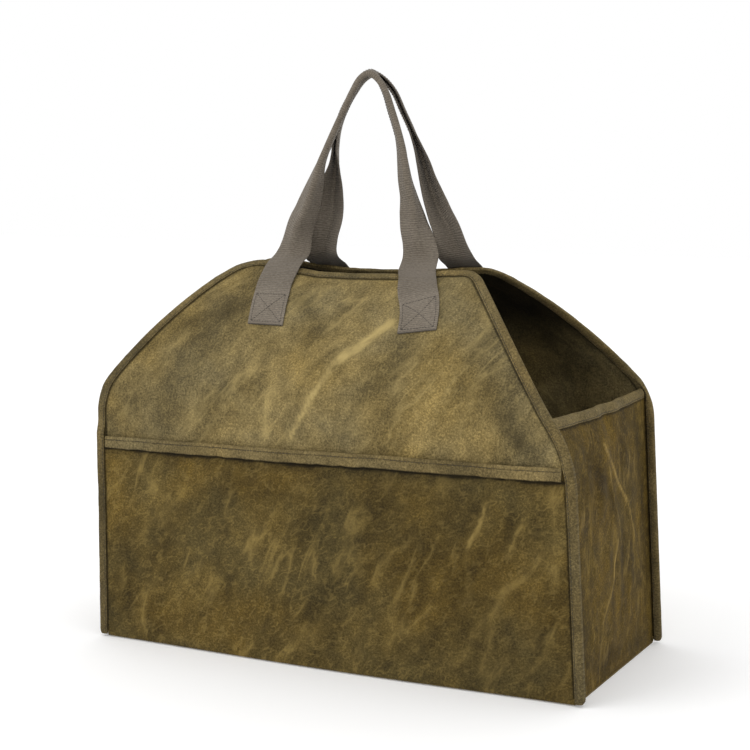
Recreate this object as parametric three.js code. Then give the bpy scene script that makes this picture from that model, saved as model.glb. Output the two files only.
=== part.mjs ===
import * as THREE from 'three';

// Sizes of the body, in millimetres
const bodyLength = 571.6;
const bodyDepth = 256;
const gussetHeight = 292;
const topHeight = 432;
const topLength = 288;
const topShift = -17;
const frontTopDistance = 16;
const backTopDistance = 15;
const leanLeft = 2;
const leanRight = 17;

// Sizes of the cloth, its seams and its bends
const cloth = 1.6;
const seatGap = 0.35;
const bottomBend = 5;
const shoulderAbove = 4;
const shoulderBend = 40;
const shoulderRound = 24;
const cornerBelow = 8;
const frontRightRound = 34;
const frontRightBelow = 36;
const slopeBow = 14;
const topCornerLeft = 30;
const topCornerRight = 18;
const gussetBend = 2.4;
const bindingWidth = 10.5;
const bindingWall = 1.0;

// Sizes of the pocket
const pocketHeight = 240;
const pocketTilt = 5;
const pocketHem = 14;
const pocketMouth = 3;

// Sizes of the straps
const strapWidth = 44;
const strapWall = 2;
const strapOverlap = 92;
const strapRise = 210;
const strapFoldRadius = 2.5;
const strapFoldLimit = 91;
const frontStrapCentre = -15;
const frontStrapSpread = 92;
const backStrapCentre = 2;
const backStrapSpread = 91;

// Sizes of the soft shape
const frontBelly = 8;
const backBelly = 8;
const gussetBelly = 5;
const topDip = 20;
const gussetDip = 2;
const foldDepth = 4;

// Number of pieces that curves are drawn with
const panelColumns = 10;
const panelRowLength = 38;
const cornerRowLength = 8;
const slopeRowLength = 18;
const gussetColumns = 12;
const gussetRows = 8;
const strapColumns = 8;
const strapStations = 36;

// Belly of the lower panel: height as a share of the shoulder height, push as a share of the belly
const bellyRows = [
  { height: 0.0, push: 0.75 },
  { height: 0.35, push: 1.0 },
  { height: 0.7, push: 0.7 },
  { height: 1.0, push: -0.35 },
  { height: 1.15, push: -0.1 },
  { height: 1.3, push: 0.0 },
];

// Dip of the top edge: place as a share of half the top length, drop as a share of the dip
const dipRows = [
  { place: -1.0, drop: 0.0 },
  { place: -0.85, drop: 0.06 },
  { place: -0.7, drop: 0.3 },
  { place: -0.48, drop: 0.76 },
  { place: -0.25, drop: 0.97 },
  { place: 0.0, drop: 1.0 },
  { place: 0.35, drop: 0.9 },
  { place: 0.6, drop: 0.65 },
  { place: 0.8, drop: 0.42 },
  { place: 1.0, drop: 0.27 },
];

// Soft folds of the front: middle, direction and size as shares of the body length and gusset height
const frontFolds = [
  { across: -0.31, up: 1.12, turn: 52, long: 0.17, wide: 0.05, push: 0.9 },
  { across: -0.4, up: 0.93, turn: 60, long: 0.12, wide: 0.045, push: -0.7 },
  { across: -0.02, up: 1.1, turn: 58, long: 0.22, wide: 0.05, push: 0.8 },
  { across: 0.12, up: 0.93, turn: 62, long: 0.2, wide: 0.05, push: -0.6 },
  { across: 0.33, up: 1.0, turn: -55, long: 0.15, wide: 0.05, push: 0.7 },
  { across: -0.28, up: 0.4, turn: 40, long: 0.16, wide: 0.06, push: -0.5 },
  { across: 0.28, up: 0.42, turn: -48, long: 0.18, wide: 0.06, push: -0.6 },
];

// Soft folds of the back, in the same columns
const backFolds = [
  { across: -0.25, up: 1.05, turn: 55, long: 0.18, wide: 0.05, push: 0.6 },
  { across: 0.2, up: 1.0, turn: -50, long: 0.18, wide: 0.05, push: 0.6 },
  { across: 0.0, up: 0.5, turn: 20, long: 0.2, wide: 0.06, push: -0.5 },
];

// Upright folds of the gusset: middle as a share of the depth, push as a share of the fold depth
const gussetFolds = [
  { along: -0.3, wide: 0.07, low: 0.0, push: -0.6 },
  { along: -0.12, wide: 0.08, low: 0.15, push: 0.6 },
  { along: 0.1, wide: 0.07, low: 0.1, push: -0.9 },
  { along: 0.28, wide: 0.08, low: 0.3, push: 0.5 },
];

// Path of the front strap over the panel edge: place as a share of the spread, depth as a share of
// the folded strap, height as a share of the rise, fold as a share of the fold limit, turn in degrees
// of the folded strap about the upright
const frontStrapRows = [
  { place: -1.05, depth: -0.74, height: 0.045, fold: 0.16, turn: 0 },
  { place: -0.973, depth: -0.77, height: 0.12, fold: 0.44, turn: 5 },
  { place: -0.867, depth: -0.8, height: 0.2, fold: 0.55, turn: 13 },
  { place: -0.747, depth: -0.92, height: 0.28, fold: 0.63, turn: 20 },
  { place: -0.658, depth: -1.0, height: 0.36, fold: 0.72, turn: 22 },
  { place: -0.59, depth: -1.05, height: 0.44, fold: 0.83, turn: 22 },
  { place: -0.527, depth: -1.06, height: 0.52, fold: 0.94, turn: 22 },
  { place: -0.445, depth: -1.02, height: 0.6, fold: 1.0, turn: 22 },
  { place: -0.335, depth: -0.97, height: 0.7, fold: 1.0, turn: 22 },
  { place: -0.213, depth: -0.97, height: 0.8, fold: 1.0, turn: 22 },
  { place: -0.09, depth: -0.97, height: 0.9, fold: 1.0, turn: 23 },
  { place: 0.02, depth: -0.97, height: 0.97, fold: 1.0, turn: 25 },
  { place: 0.13, depth: -0.97, height: 0.995, fold: 1.0, turn: 26 },
  { place: 0.25, depth: -0.97, height: 0.967, fold: 1.0, turn: 28 },
  { place: 0.361, depth: -0.97, height: 0.9, fold: 1.0, turn: 31 },
  { place: 0.449, depth: -0.97, height: 0.8, fold: 1.0, turn: 33 },
  { place: 0.527, depth: -0.97, height: 0.7, fold: 1.0, turn: 33 },
  { place: 0.588, depth: -0.96, height: 0.6, fold: 0.93, turn: 33 },
  { place: 0.613, depth: -0.94, height: 0.52, fold: 0.88, turn: 33 },
  { place: 0.636, depth: -0.9, height: 0.44, fold: 0.83, turn: 33 },
  { place: 0.679, depth: -0.87, height: 0.36, fold: 0.76, turn: 33 },
  { place: 0.705, depth: -0.84, height: 0.28, fold: 0.64, turn: 31 },
  { place: 0.704, depth: -0.8, height: 0.2, fold: 0.52, turn: 20 },
  { place: 0.71, depth: -0.77, height: 0.12, fold: 0.35, turn: 7 },
  { place: 0.739, depth: -0.74, height: 0.045, fold: 0.12, turn: 0 },
];

// Path of the back strap, in the same columns
const backStrapRows = [
  { place: -0.84, depth: 0.74, height: 0.045, fold: 0.16, turn: 0 },
  { place: -0.818, depth: 0.77, height: 0.12, fold: 0.36, turn: 4 },
  { place: -0.802, depth: 0.8, height: 0.2, fold: 0.48, turn: 12 },
  { place: -0.801, depth: 0.92, height: 0.28, fold: 0.55, turn: 19 },
  { place: -0.794, depth: 1.0, height: 0.36, fold: 0.63, turn: 20 },
  { place: -0.785, depth: 1.05, height: 0.44, fold: 0.73, turn: 20 },
  { place: -0.759, depth: 1.06, height: 0.52, fold: 0.89, turn: 20 },
  { place: -0.749, depth: 1.02, height: 0.6, fold: 1.0, turn: 20 },
  { place: -0.711, depth: 0.97, height: 0.7, fold: 1.0, turn: 20 },
  { place: -0.627, depth: 0.97, height: 0.8, fold: 1.0, turn: 20 },
  { place: -0.487, depth: 0.97, height: 0.9, fold: 1.0, turn: 21 },
  { place: -0.35, depth: 0.97, height: 0.97, fold: 1.0, turn: 22 },
  { place: -0.22, depth: 0.97, height: 0.995, fold: 1.0, turn: 22 },
  { place: -0.08, depth: 0.97, height: 0.965, fold: 1.0, turn: 23 },
  { place: 0.06, depth: 0.97, height: 0.9, fold: 1.0, turn: 24 },
  { place: 0.179, depth: 0.97, height: 0.8, fold: 1.0, turn: 24 },
  { place: 0.296, depth: 0.97, height: 0.7, fold: 1.0, turn: 24 },
  { place: 0.398, depth: 0.96, height: 0.6, fold: 0.93, turn: 24 },
  { place: 0.467, depth: 0.94, height: 0.52, fold: 0.84, turn: 24 },
  { place: 0.528, depth: 0.9, height: 0.44, fold: 0.78, turn: 24 },
  { place: 0.601, depth: 0.87, height: 0.36, fold: 0.7, turn: 24 },
  { place: 0.69, depth: 0.84, height: 0.28, fold: 0.63, turn: 22 },
  { place: 0.801, depth: 0.8, height: 0.2, fold: 0.56, turn: 14 },
  { place: 0.9, depth: 0.77, height: 0.12, fold: 0.44, turn: 5 },
  { place: 0.966, depth: 0.74, height: 0.045, fold: 0.16, turn: 0 },
];

// Sewn strap ends: how far each leans and bows along the panel, as shares of the strap width
const frontStrapLean = { left: 0.36, right: 0.8 };
const backStrapLean = { left: 0.0, right: 0.0 };
const frontStrapBow = { left: 0.0, right: 0.16 };
const backStrapBow = { left: 0.0, right: 0.0 };

// Derived sizes
const halfDepth = bodyDepth / 2;
const halfLength = bodyLength / 2;
const layerStep = cloth + seatGap;
const seamReach = bindingWidth - bindingWall - seatGap;
const bottomZ = cloth / 2 + bottomBend;
const shoulderZ = gussetHeight + shoulderAbove;
const bottomArc = (Math.PI / 2) * bottomBend;

function smooth(from, to, value) {
  const t = Math.min(1, Math.max(0, (value - from) / (to - from)));
  return t * t * (3 - 2 * t);
}

function tableValue(rows, key, value, at) {
  if (at <= rows[0][key]) return rows[0][value];
  for (let i = 1; i < rows.length; i++) {
    if (at <= rows[i][key]) {
      const t = smooth(rows[i - 1][key], rows[i][key], at);
      return rows[i - 1][value] + (rows[i][value] - rows[i - 1][value]) * t;
    }
  }
  return rows[rows.length - 1][value];
}

// Height profile of one panel: from the bottom bend up the wall, over the shoulder, up the slope
function makeProfile(topDistance) {
  let turn = 0.4;
  let wall = 0;
  let chord = 0;
  let half = 0;
  for (let i = 0; i < 12; i++) {
    wall = shoulderZ - shoulderBend * Math.tan(turn / 2) - bottomZ;
    const across = halfDepth - topDistance - shoulderBend * (1 - Math.cos(turn));
    const up = topHeight - bottomZ - wall - shoulderBend * Math.sin(turn);
    chord = Math.hypot(across, up);
    half = 2 * Math.atan((2 * slopeBow) / chord);
    turn = Math.atan2(across, up) - half;
  }
  const arc = shoulderBend * turn;
  const radius = chord / (2 * Math.sin(half));
  return { turn, wall, arc, radius, total: wall + arc + 2 * half * radius };
}
const profiles = { '-1': makeProfile(frontTopDistance), '1': makeProfile(backTopDistance) };

// Edge of the cut panel at a height up the vertical seam
function seamEdge(end, z) {
  const lean = end < 0 ? leanLeft : leanRight;
  return end * (halfLength + seamReach - (lean * z) / gussetHeight);
}

// Place of the end panel: where the outline of a panel draws in, it follows near that panel
function gussetPlane(end, y, z) {
  const lean = end < 0 ? leanLeft : leanRight;
  const slack = seamReach - gussetBend - 1;
  const drawn = (side) => {
    const edge = panelEdge(side, end, z - bottomZ);
    return Math.max(0, end * (seamEdge(end, z) - edge) - slack);
  };
  const share = Math.min(1, Math.max(0, (y + halfDepth) / bodyDepth));
  const shift = drawn(-1) * (1 - share) + drawn(1) * share;
  return end * (halfLength - cloth / 2 - (lean * z) / gussetHeight - shift);
}

function foldSum(folds, x, z) {
  let sum = 0;
  for (const fold of folds) {
    const turn = (fold.turn * Math.PI) / 180;
    const dx = x - fold.across * bodyLength;
    const dz = z - fold.up * gussetHeight;
    const along = (dx * Math.cos(turn) + dz * Math.sin(turn)) / (fold.long * bodyLength);
    const across = (-dx * Math.sin(turn) + dz * Math.cos(turn)) / (fold.wide * bodyLength);
    sum += fold.push * Math.exp(-along * along - across * across);
  }
  return sum;
}

function strapShare(side, x) {
  const rows = side < 0 ? frontStrapRows : backStrapRows;
  const lean = side < 0 ? frontStrapLean : backStrapLean;
  const centre = side < 0 ? frontStrapCentre : backStrapCentre;
  const spread = side < 0 ? frontStrapSpread : backStrapSpread;
  const left = centre + spread * rows[0].place + (lean.left * strapWidth) / 2;
  const right = centre + spread * rows[rows.length - 1].place + (lean.right * strapWidth) / 2;
  const near = Math.min(Math.abs(x - left), Math.abs(x - right));
  return smooth(strapWidth * 0.85, strapWidth * 1.6, near);
}

function panelEdge(side, end, v) {
  const rows = outlines[side];
  const key = end < 0 ? 'left' : 'right';
  if (v <= rows[0].v) return rows[0][key];
  for (let i = 1; i < rows.length; i++) {
    if (v <= rows[i].v) {
      const t = (v - rows[i - 1].v) / Math.max(1e-9, rows[i].v - rows[i - 1].v);
      return rows[i - 1][key] + (rows[i][key] - rows[i - 1][key]) * t;
    }
  }
  return rows[rows.length - 1][key];
}

function panelEdges(side, v) {
  return { left: panelEdge(side, -1, v), right: panelEdge(side, 1, v) };
}

// Heights of the rows that the pocket and the front share, up to the pocket's top edge
function pocketHeights() {
  const top = pocketHeight - bottomZ - bindingWall - seatGap;
  const shares = [0, 0.16, 0.36, 0.54, 0.68, 0.78, 0.86, 0.93, 1];
  const list = shares.map((share) => 2 + (top - pocketHem - 2) * share);
  return [...list, top - pocketHem / 2, top];
}

// Height of a panel's shoulder corner and its rounding, at one end
function shoulderCorner(side, end) {
  const drawn = side < 0 && end > 0;
  return {
    corner: gussetHeight - (drawn ? frontRightBelow : cornerBelow) - bottomZ,
    round: drawn ? frontRightRound : shoulderRound,
  };
}

// Cut edge of a panel at a height: straight seam, rounded shoulder, slanted edge, rounded top corner
function cutEdge(side, end, v) {
  const total = profiles[side].total;
  const { corner, round } = shoulderCorner(side, end);
  const topRound = end < 0 ? topCornerLeft : topCornerRight;
  const top = topShift + (end * topLength) / 2;
  const foot = seamEdge(end, bottomZ + corner);
  const slanted = (height) => foot + ((top - foot) * (height - corner)) / (total - corner);
  if (v <= corner - round) return seamEdge(end, bottomZ + v);
  if (v <= corner + round) {
    const t = (v - corner + round) / (2 * round);
    const start = seamEdge(end, bottomZ + corner - round);
    return (1 - t) * (1 - t) * start + 2 * t * (1 - t) * foot + t * t * slanted(corner + round);
  }
  if (v <= total - topRound) return slanted(v);
  const t = 1 - Math.sqrt(Math.max(0, total - v) / topRound);
  const start = slanted(total - topRound);
  return (1 - t) * (1 - t) * start + 2 * t * (1 - t) * top + t * t * (top - end * topRound);
}

// Outline rows of one panel: height along the profile with its left and right cut edge
function makeOutline(side) {
  const total = profiles[side].total;
  const left = shoulderCorner(side, -1);
  const right = shoulderCorner(side, 1);
  const heights = side < 0 ? pocketHeights() : [2];
  if (side < 0) {
    const mouth = pocketHeight - bottomZ + pocketTilt;
    heights.push(mouth + bindingWall, mouth + pocketHem * 1.3);
  }
  const fill = (to, length) => {
    const from = heights[heights.length - 1];
    const steps = Math.ceil((to - from) / length);
    for (let i = 1; i <= steps; i++) heights.push(from + ((to - from) * i) / steps);
  };
  fill(left.corner - left.round, panelRowLength);
  fill(Math.max(left.corner + left.round, right.corner + right.round), cornerRowLength);
  fill(total - Math.max(topCornerLeft, topCornerRight), slopeRowLength);
  for (let i = 1; i <= 6; i++) {
    heights.push(total - Math.max(topCornerLeft, topCornerRight) * (1 - i / 6) * (1 - i / 6));
  }
  return heights.map((v) => ({ v, left: cutEdge(side, -1, v), right: cutEdge(side, 1, v) }));
}
const outlines = { '-1': makeOutline(-1), '1': makeOutline(1) };

// Point of a panel's middle surface: v runs up the profile, below zero round the bottom bend
function panelPoint(side, x, v) {
  const profile = profiles[side];
  const belly = side < 0 ? frontBelly : backBelly;
  const folds = side < 0 ? frontFolds : backFolds;
  const share = Math.min(1, Math.abs(x) / halfLength);
  const crown = (1 - share * share) * (1 - share * share);
  const shoulder = profile.wall + profile.arc;
  let height = v;
  if (v > shoulder) {
    const place = (x - topShift) / (topLength / 2);
    const drop = topDip * tableValue(dipRows, 'place', 'drop', place);
    height = v - (drop * (v - shoulder)) / (profile.total - shoulder);
  }
  let inward = 0;
  let z = bottomZ;
  let turn = 0;
  if (height < 0) {
    const round = Math.min(bottomArc, -height) / bottomBend;
    inward = bottomBend * (1 - Math.cos(round));
    z = bottomZ - bottomBend * Math.sin(round);
    const beyond = Math.max(0, -height - bottomArc);
    const push = belly * bellyRows[0].push * crown;
    const flat = halfDepth - bottomBend;
    const y = halfDepth - inward - beyond + push * (1 - beyond / flat);
    return new THREE.Vector3(x, side * y, z);
  }
  const onWall = Math.min(height, profile.wall);
  z += onWall;
  if (height > profile.wall) {
    turn = Math.min(height - profile.wall, profile.arc) / shoulderBend;
    inward = shoulderBend * (1 - Math.cos(turn));
    z += shoulderBend * Math.sin(turn);
  }
  if (height > shoulder) {
    turn = profile.turn + (height - shoulder) / profile.radius;
    inward += profile.radius * (Math.cos(profile.turn) - Math.cos(turn));
    z += profile.radius * (Math.sin(turn) - Math.sin(profile.turn));
  }
  const edges = panelEdges(side, v);
  const rim = Math.min(x - edges.left, edges.right - x);
  const fade = smooth(bindingWidth * 1.2, bindingWidth * 5, rim)
    * smooth(bindingWidth * 1.2, bindingWidth * 5, profile.total - v)
    * smooth(0, bindingWidth * 3.5, height);
  const sewn = v > shoulder ? strapShare(side, x) : 1;
  let push = belly * crown * tableValue(bellyRows, 'height', 'push', z / shoulderZ);
  push += foldDepth * fade * sewn * foldSum(folds, x, z);
  return new THREE.Vector3(
    x,
    side * (halfDepth - inward + push * Math.cos(turn)),
    z + push * Math.sin(turn),
  );
}

// Point at a distance from the middle surface, outward for a positive distance
function panelOffset(side, x, v, distance) {
  const step = 0.4;
  const point = panelPoint(side, x, v);
  const across = panelPoint(side, x + step, v).sub(panelPoint(side, x - step, v));
  const up = panelPoint(side, x, v + step).sub(panelPoint(side, x, v - step));
  const normal = across.cross(up).normalize().multiplyScalar(side < 0 ? 1 : -1);
  return point.addScaledVector(normal, distance);
}

// Closed mesh from rings of points: each ring is a closed loop, the caps are strips of quads
function meshFromRings(rings, caps) {
  const positions = [];
  const faces = [];
  const count = rings[0].length;
  for (const ring of rings) {
    for (const point of ring) positions.push(point.x, point.y, point.z);
  }
  for (let i = 0; i + 1 < rings.length; i++) {
    for (let j = 0; j < count; j++) {
      const a = i * count + j;
      const b = i * count + ((j + 1) % count);
      faces.push(a, b, b + count, a, b + count, a + count);
    }
  }
  const end = (rings.length - 1) * count;
  for (const [a, b, c, d] of caps) {
    faces.push(a, c, b, a, d, c);
    faces.push(end + a, end + b, end + c, end + a, end + c, end + d);
  }
  return finishMesh(positions, faces);
}

function finishMesh(positions, faces) {
  const p = (i) => new THREE.Vector3(positions[3 * i], positions[3 * i + 1], positions[3 * i + 2]);
  let volume = 0;
  for (let i = 0; i < faces.length; i += 3) {
    volume += p(faces[i]).dot(p(faces[i + 1]).cross(p(faces[i + 2])));
  }
  if (volume < 0) {
    for (let i = 0; i < faces.length; i += 3) {
      const swap = faces[i + 1];
      faces[i + 1] = faces[i + 2];
      faces[i + 2] = swap;
    }
  }
  const geometry = new THREE.BufferGeometry();
  geometry.setAttribute('position', new THREE.Float32BufferAttribute(positions, 3));
  geometry.setIndex(faces);
  geometry.computeVertexNormals();
  return geometry;
}

// Sheet with a wall: rows of outer points and the matching inner points
function sheetFromRows(rows) {
  const rings = rows.map((row) => [...row.outer, ...row.inner.slice().reverse()]);
  const count = rows[0].outer.length;
  const caps = [];
  for (let j = 0; j + 1 < count; j++) {
    caps.push([j, j + 1, 2 * count - 2 - j, 2 * count - 1 - j]);
  }
  return meshFromRings(rings, caps);
}

// Columns of a row between its edges, the inner ones spread from one place to another
function rowColumns(left, right, trim, from = left, to = right) {
  const columns = [left, left + trim];
  for (let i = 1; i < panelColumns; i++) {
    columns.push(from + trim + ((to - from - 2 * trim) * i) / panelColumns);
  }
  columns.push(right - trim, right);
  return columns;
}

// Row of a panel, with the inner columns of the top edge kept by the rows just below it
function sheetRow(side, v, left, right, near, far) {
  const last = outlines[side][outlines[side].length - 1];
  const share = smooth(last.v - 3 * topCornerLeft, last.v - topCornerLeft, v);
  const from = left + (last.left - left) * share;
  const to = right + (last.right - right) * share;
  const columns = rowColumns(left, right, bindingWidth, from, to);
  return {
    outer: columns.map((x) => panelOffset(side, x, v, far)),
    inner: columns.map((x) => panelOffset(side, x, v, near)),
  };
}

// Front, base and back in one sheet
function bodySheet() {
  const rows = [];
  const half = cloth / 2;
  const foot = halfLength;
  const addPanel = (side) => {
    const list = outlines[side].map((row) => sheetRow(side, row.v, row.left, row.right, -half, half));
    for (const share of [0, 0.33, 0.66, 1]) {
      list.unshift(sheetRow(side, -bottomArc * share, -foot, foot, -half, half));
    }
    return list;
  };
  const front = addPanel(-1).reverse();
  const back = addPanel(1);
  rows.push(...front);
  const flat = halfDepth - bottomBend;
  for (const share of [0.3, 0.65]) {
    rows.push(sheetRow(-1, -bottomArc - flat * share, -foot, foot, -half, half));
  }
  rows.push(sheetRow(-1, -bottomArc - flat * 0.999, -foot, foot, -half, half));
  for (const share of [0.65, 0.3]) {
    rows.push(sheetRow(1, -bottomArc - flat * share, -foot, foot, -half, half));
  }
  rows.push(...back);
  return sheetFromRows(rows);
}

// The pocket's mouth is higher at the right end than at the left: stretch of its rows at x
function pocketRise(x) {
  return 1 + (pocketTilt * x) / (halfLength * pocketHeight);
}

// Distance of the pocket cloth from the front panel, wider towards its mouth
function pocketDistance(x, v) {
  const z = bottomZ + v / pocketRise(x);
  const share = Math.min(1, Math.abs(x) / (halfLength - bindingWidth));
  const near = smooth(pocketHeight - 5 * pocketHem, pocketHeight - 1.6 * pocketHem, z);
  const mouth = pocketMouth * (1 - share * share) * near;
  return layerStep + (bindingWall + seatGap) * near + mouth;
}

function pocketRows() {
  const rows = [-0.42, -0.2, 0].map((share) => ({ v: share * bottomArc }));
  for (const v of pocketHeights()) rows.push({ v });
  return rows.map((row) => {
    const inside = row.v <= 0;
    return {
      v: row.v,
      left: inside ? -halfLength : panelEdge(-1, -1, row.v * pocketRise(-halfLength)),
      right: inside ? halfLength : panelEdge(-1, 1, row.v * pocketRise(halfLength)),
    };
  });
}

function pocketPanel() {
  const half = cloth / 2;
  const rows = pocketRows().map((row) => {
    const columns = rowColumns(row.left, row.right, bindingWidth);
    const at = (x, face) => {
      const v = row.v > 0 ? row.v * pocketRise(x) : row.v;
      return panelOffset(-1, x, v, pocketDistance(x, v) + face);
    };
    return {
      outer: columns.map((x) => at(x, half)),
      inner: columns.map((x) => at(x, -half)),
    };
  });
  return sheetFromRows(rows);
}

// Ring of a folded tape: two legs and the closed edge, drawn by a function of depth and offset
function tapeRing(place, depth, outerFace, innerFace, innerDepth = depth) {
  const wall = bindingWall;
  const gap = seatGap;
  const out = outerFace + gap;
  const inn = innerFace - gap;
  return [
    place(depth, out + wall),
    place(-gap - wall, out + wall),
    place(-gap - wall, inn - wall),
    place(innerDepth, inn - wall),
    place(innerDepth, inn),
    place(-gap, inn),
    place(-gap, out),
    place(depth, out),
  ];
}
const tapeCaps = [[0, 1, 6, 7], [1, 2, 5, 6], [2, 3, 4, 5]];

function pocketBinding() {
  const top = pocketHeight - bottomZ - bindingWall - seatGap;
  const edges = panelEdges(-1, top);
  const reach = bindingWidth + seatGap + 0.3;
  const columns = rowColumns(edges.left, edges.right, bindingWidth).slice(1, -1);
  columns[0] = edges.left + reach;
  columns[columns.length - 1] = edges.right - reach;
  const rings = columns.map((x) => {
    const place = (depth, offset) => {
      const v = (top - depth) * pocketRise(x);
      return panelOffset(-1, x, v, pocketDistance(x, v) + offset);
    };
    return tapeRing(place, pocketHem - bindingWall - seatGap, cloth / 2, -cloth / 2);
  });
  return meshFromRings(rings, tapeCaps);
}

// Tape round the edge of a panel: up one seam, over the slope and the top, down the other seam
function edgeBinding(side) {
  const rows = outlines[side];
  const path = [];
  for (const row of rows) path.push({ x: row.left, v: row.v });
  const last = rows[rows.length - 1];
  for (const x of rowColumns(last.left, last.right, bindingWidth).slice(1, -1)) {
    path.push({ x, v: last.v });
  }
  for (const row of rows.slice().reverse()) path.push({ x: row.right, v: row.v });
  const half = cloth / 2;
  const rings = path.map((station, i) => {
    const before = path[Math.max(0, i - 1)];
    const after = path[Math.min(path.length - 1, i + 1)];
    const dx = after.x - before.x;
    const dv = after.v - before.v;
    const size = Math.hypot(dx, dv);
    let inX = dv / size;
    let inV = -dx / size;
    if (i === 0 || i === path.length - 1) {
      inX = Math.sign(inX);
      inV = 0;
    }
    const past = (station.v - (gussetHeight - bottomZ)) / bindingWidth;
    const seam = 1 - smooth(0.1, 2.6, past);
    const ease = seatGap * 0.85 * smooth(-0.9, -0.1, past);
    let outerFace = half + ease;
    if (side < 0) {
      const mouth = (pocketHeight - bottomZ) * pocketRise(station.x);
      const over = 1 - smooth(mouth + bindingWall, mouth + pocketHem * 1.3, station.v);
      const v = Math.min(station.v, mouth - bindingWall);
      outerFace += over * pocketDistance(station.x, v);
    }
    const innerFace = -half - layerStep * seam - ease;
    const place = (depth, offset) =>
      panelOffset(side, station.x + inX * depth, station.v + inV * depth, offset);
    const end = Math.sign(station.x);
    const height = Math.min(gussetHeight, bottomZ + station.v);
    const plane = end * gussetPlane(end, side * halfDepth, height);
    const room = end * station.x - plane - gussetBend - seatGap - 0.1;
    const short = Math.min(seamReach, Math.max(1.5, room / Math.max(0.3, Math.abs(inX))));
    const innerDepth = seamReach + (short - seamReach) * seam;
    return tapeRing(place, seamReach, outerFace, innerFace, innerDepth);
  });
  return meshFromRings(rings, tapeCaps);
}

// Path of a gusset in plan: turned flange, bend, end wall, bend, turned flange
function gussetStations() {
  const flange = halfDepth - layerStep;
  const bend = gussetBend;
  const list = [];
  const wall = flange - bend;
  for (const sideY of [-1, 1]) {
    const part = [];
    part.push({ out: seamReach, y: sideY * flange, nx: 0, ny: -sideY });
    part.push({ out: bend + 0.5, y: sideY * flange, nx: 0, ny: -sideY });
    for (const share of [0, 0.5, 1]) {
      const a = (share * Math.PI) / 2;
      part.push({
        out: bend * (1 - Math.sin(a)),
        y: sideY * (flange - bend + bend * Math.cos(a)),
        nx: -Math.sin(a),
        ny: -sideY * Math.cos(a),
      });
    }
    if (sideY > 0) part.reverse();
    list.push(part);
  }
  const middle = [];
  for (let i = 1; i < gussetColumns; i++) {
    middle.push({ out: 0, y: -wall + (2 * wall * i) / gussetColumns, nx: -1, ny: 0 });
  }
  return [...list[0], ...middle, ...list[1]];
}

function gussetPush(end, y, z) {
  const share = Math.min(1, Math.abs(y) / (halfDepth - layerStep - gussetBend));
  const crown = (1 - share * share) * (1 - share * share);
  const lift = z / gussetHeight;
  let push = gussetBelly * crown * Math.sin(Math.PI * Math.min(1, 0.15 + 0.75 * lift));
  for (const fold of gussetFolds) {
    const across = (y - fold.along * bodyDepth) / (fold.wide * bodyDepth);
    const fade = smooth(fold.low, fold.low + 0.3, lift) * (1 - smooth(0.8, 0.95, lift));
    push += foldDepth * 0.5 * fold.push * crown * fade * Math.exp(-across * across);
  }
  return push * smooth(0.02, 0.2, lift);
}

function gussetPoint(end, station, z, offset) {
  const base = gussetPlane(end, station.y, z);
  const flat = station.nx === -1 ? gussetPush(end, station.y, z) : 0;
  const edge = panelEdge(Math.sign(station.y) || 1, end, z - bottomZ);
  const out = station.out > 0 ? Math.min(station.out, end * (edge - base)) : 0;
  const x = base + end * (out + flat);
  return new THREE.Vector3(x - end * station.nx * offset * -1, station.y + station.ny * offset * -1, z);
}

function gussetTop(y) {
  const share = Math.min(1, Math.abs(y) / halfDepth);
  return gussetHeight - bindingWall - seatGap - gussetDip * (1 - share * share);
}

function gussetFoot(y) {
  const low = cloth + seatGap;
  const high = bottomZ + 1.5;
  return low + (high - low) * smooth(halfDepth - 1.2 * bindingWidth, halfDepth - 0.7 * bindingWidth, Math.abs(y));
}

function gussetSheet(end) {
  const stations = gussetStations();
  const rows = [];
  for (let i = 0; i <= gussetRows + 1; i++) {
    const share = Math.min(1, i / gussetRows);
    const under = i > gussetRows ? 0 : seamReach;
    const height = (s) => {
      const foot = gussetFoot(s.y);
      return foot + (gussetTop(s.y) - under - foot) * share;
    };
    rows.push({
      outer: stations.map((s) => gussetPoint(end, s, height(s), cloth / 2)),
      inner: stations.map((s) => gussetPoint(end, s, height(s), -cloth / 2)),
    });
  }
  return sheetFromRows(rows);
}

// Tape over the top edge of a gusset, between the two corner seams
function gussetBinding(end) {
  const inset = seatGap * 3;
  const stations = gussetStations().filter((s) => s.out === 0).map((s) => {
    const limit = halfDepth - layerStep - gussetBend - inset;
    return { ...s, y: Math.max(-limit, Math.min(limit, s.y)) };
  });
  const rings = stations.map((s) => {
    const top = gussetTop(s.y);
    const place = (depth, offset) => gussetPoint(end, s, top - depth, offset);
    return tapeRing(place, bindingWidth - bindingWall - seatGap, cloth / 2, -cloth / 2);
  });
  return meshFromRings(rings, tapeCaps);
}

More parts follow.
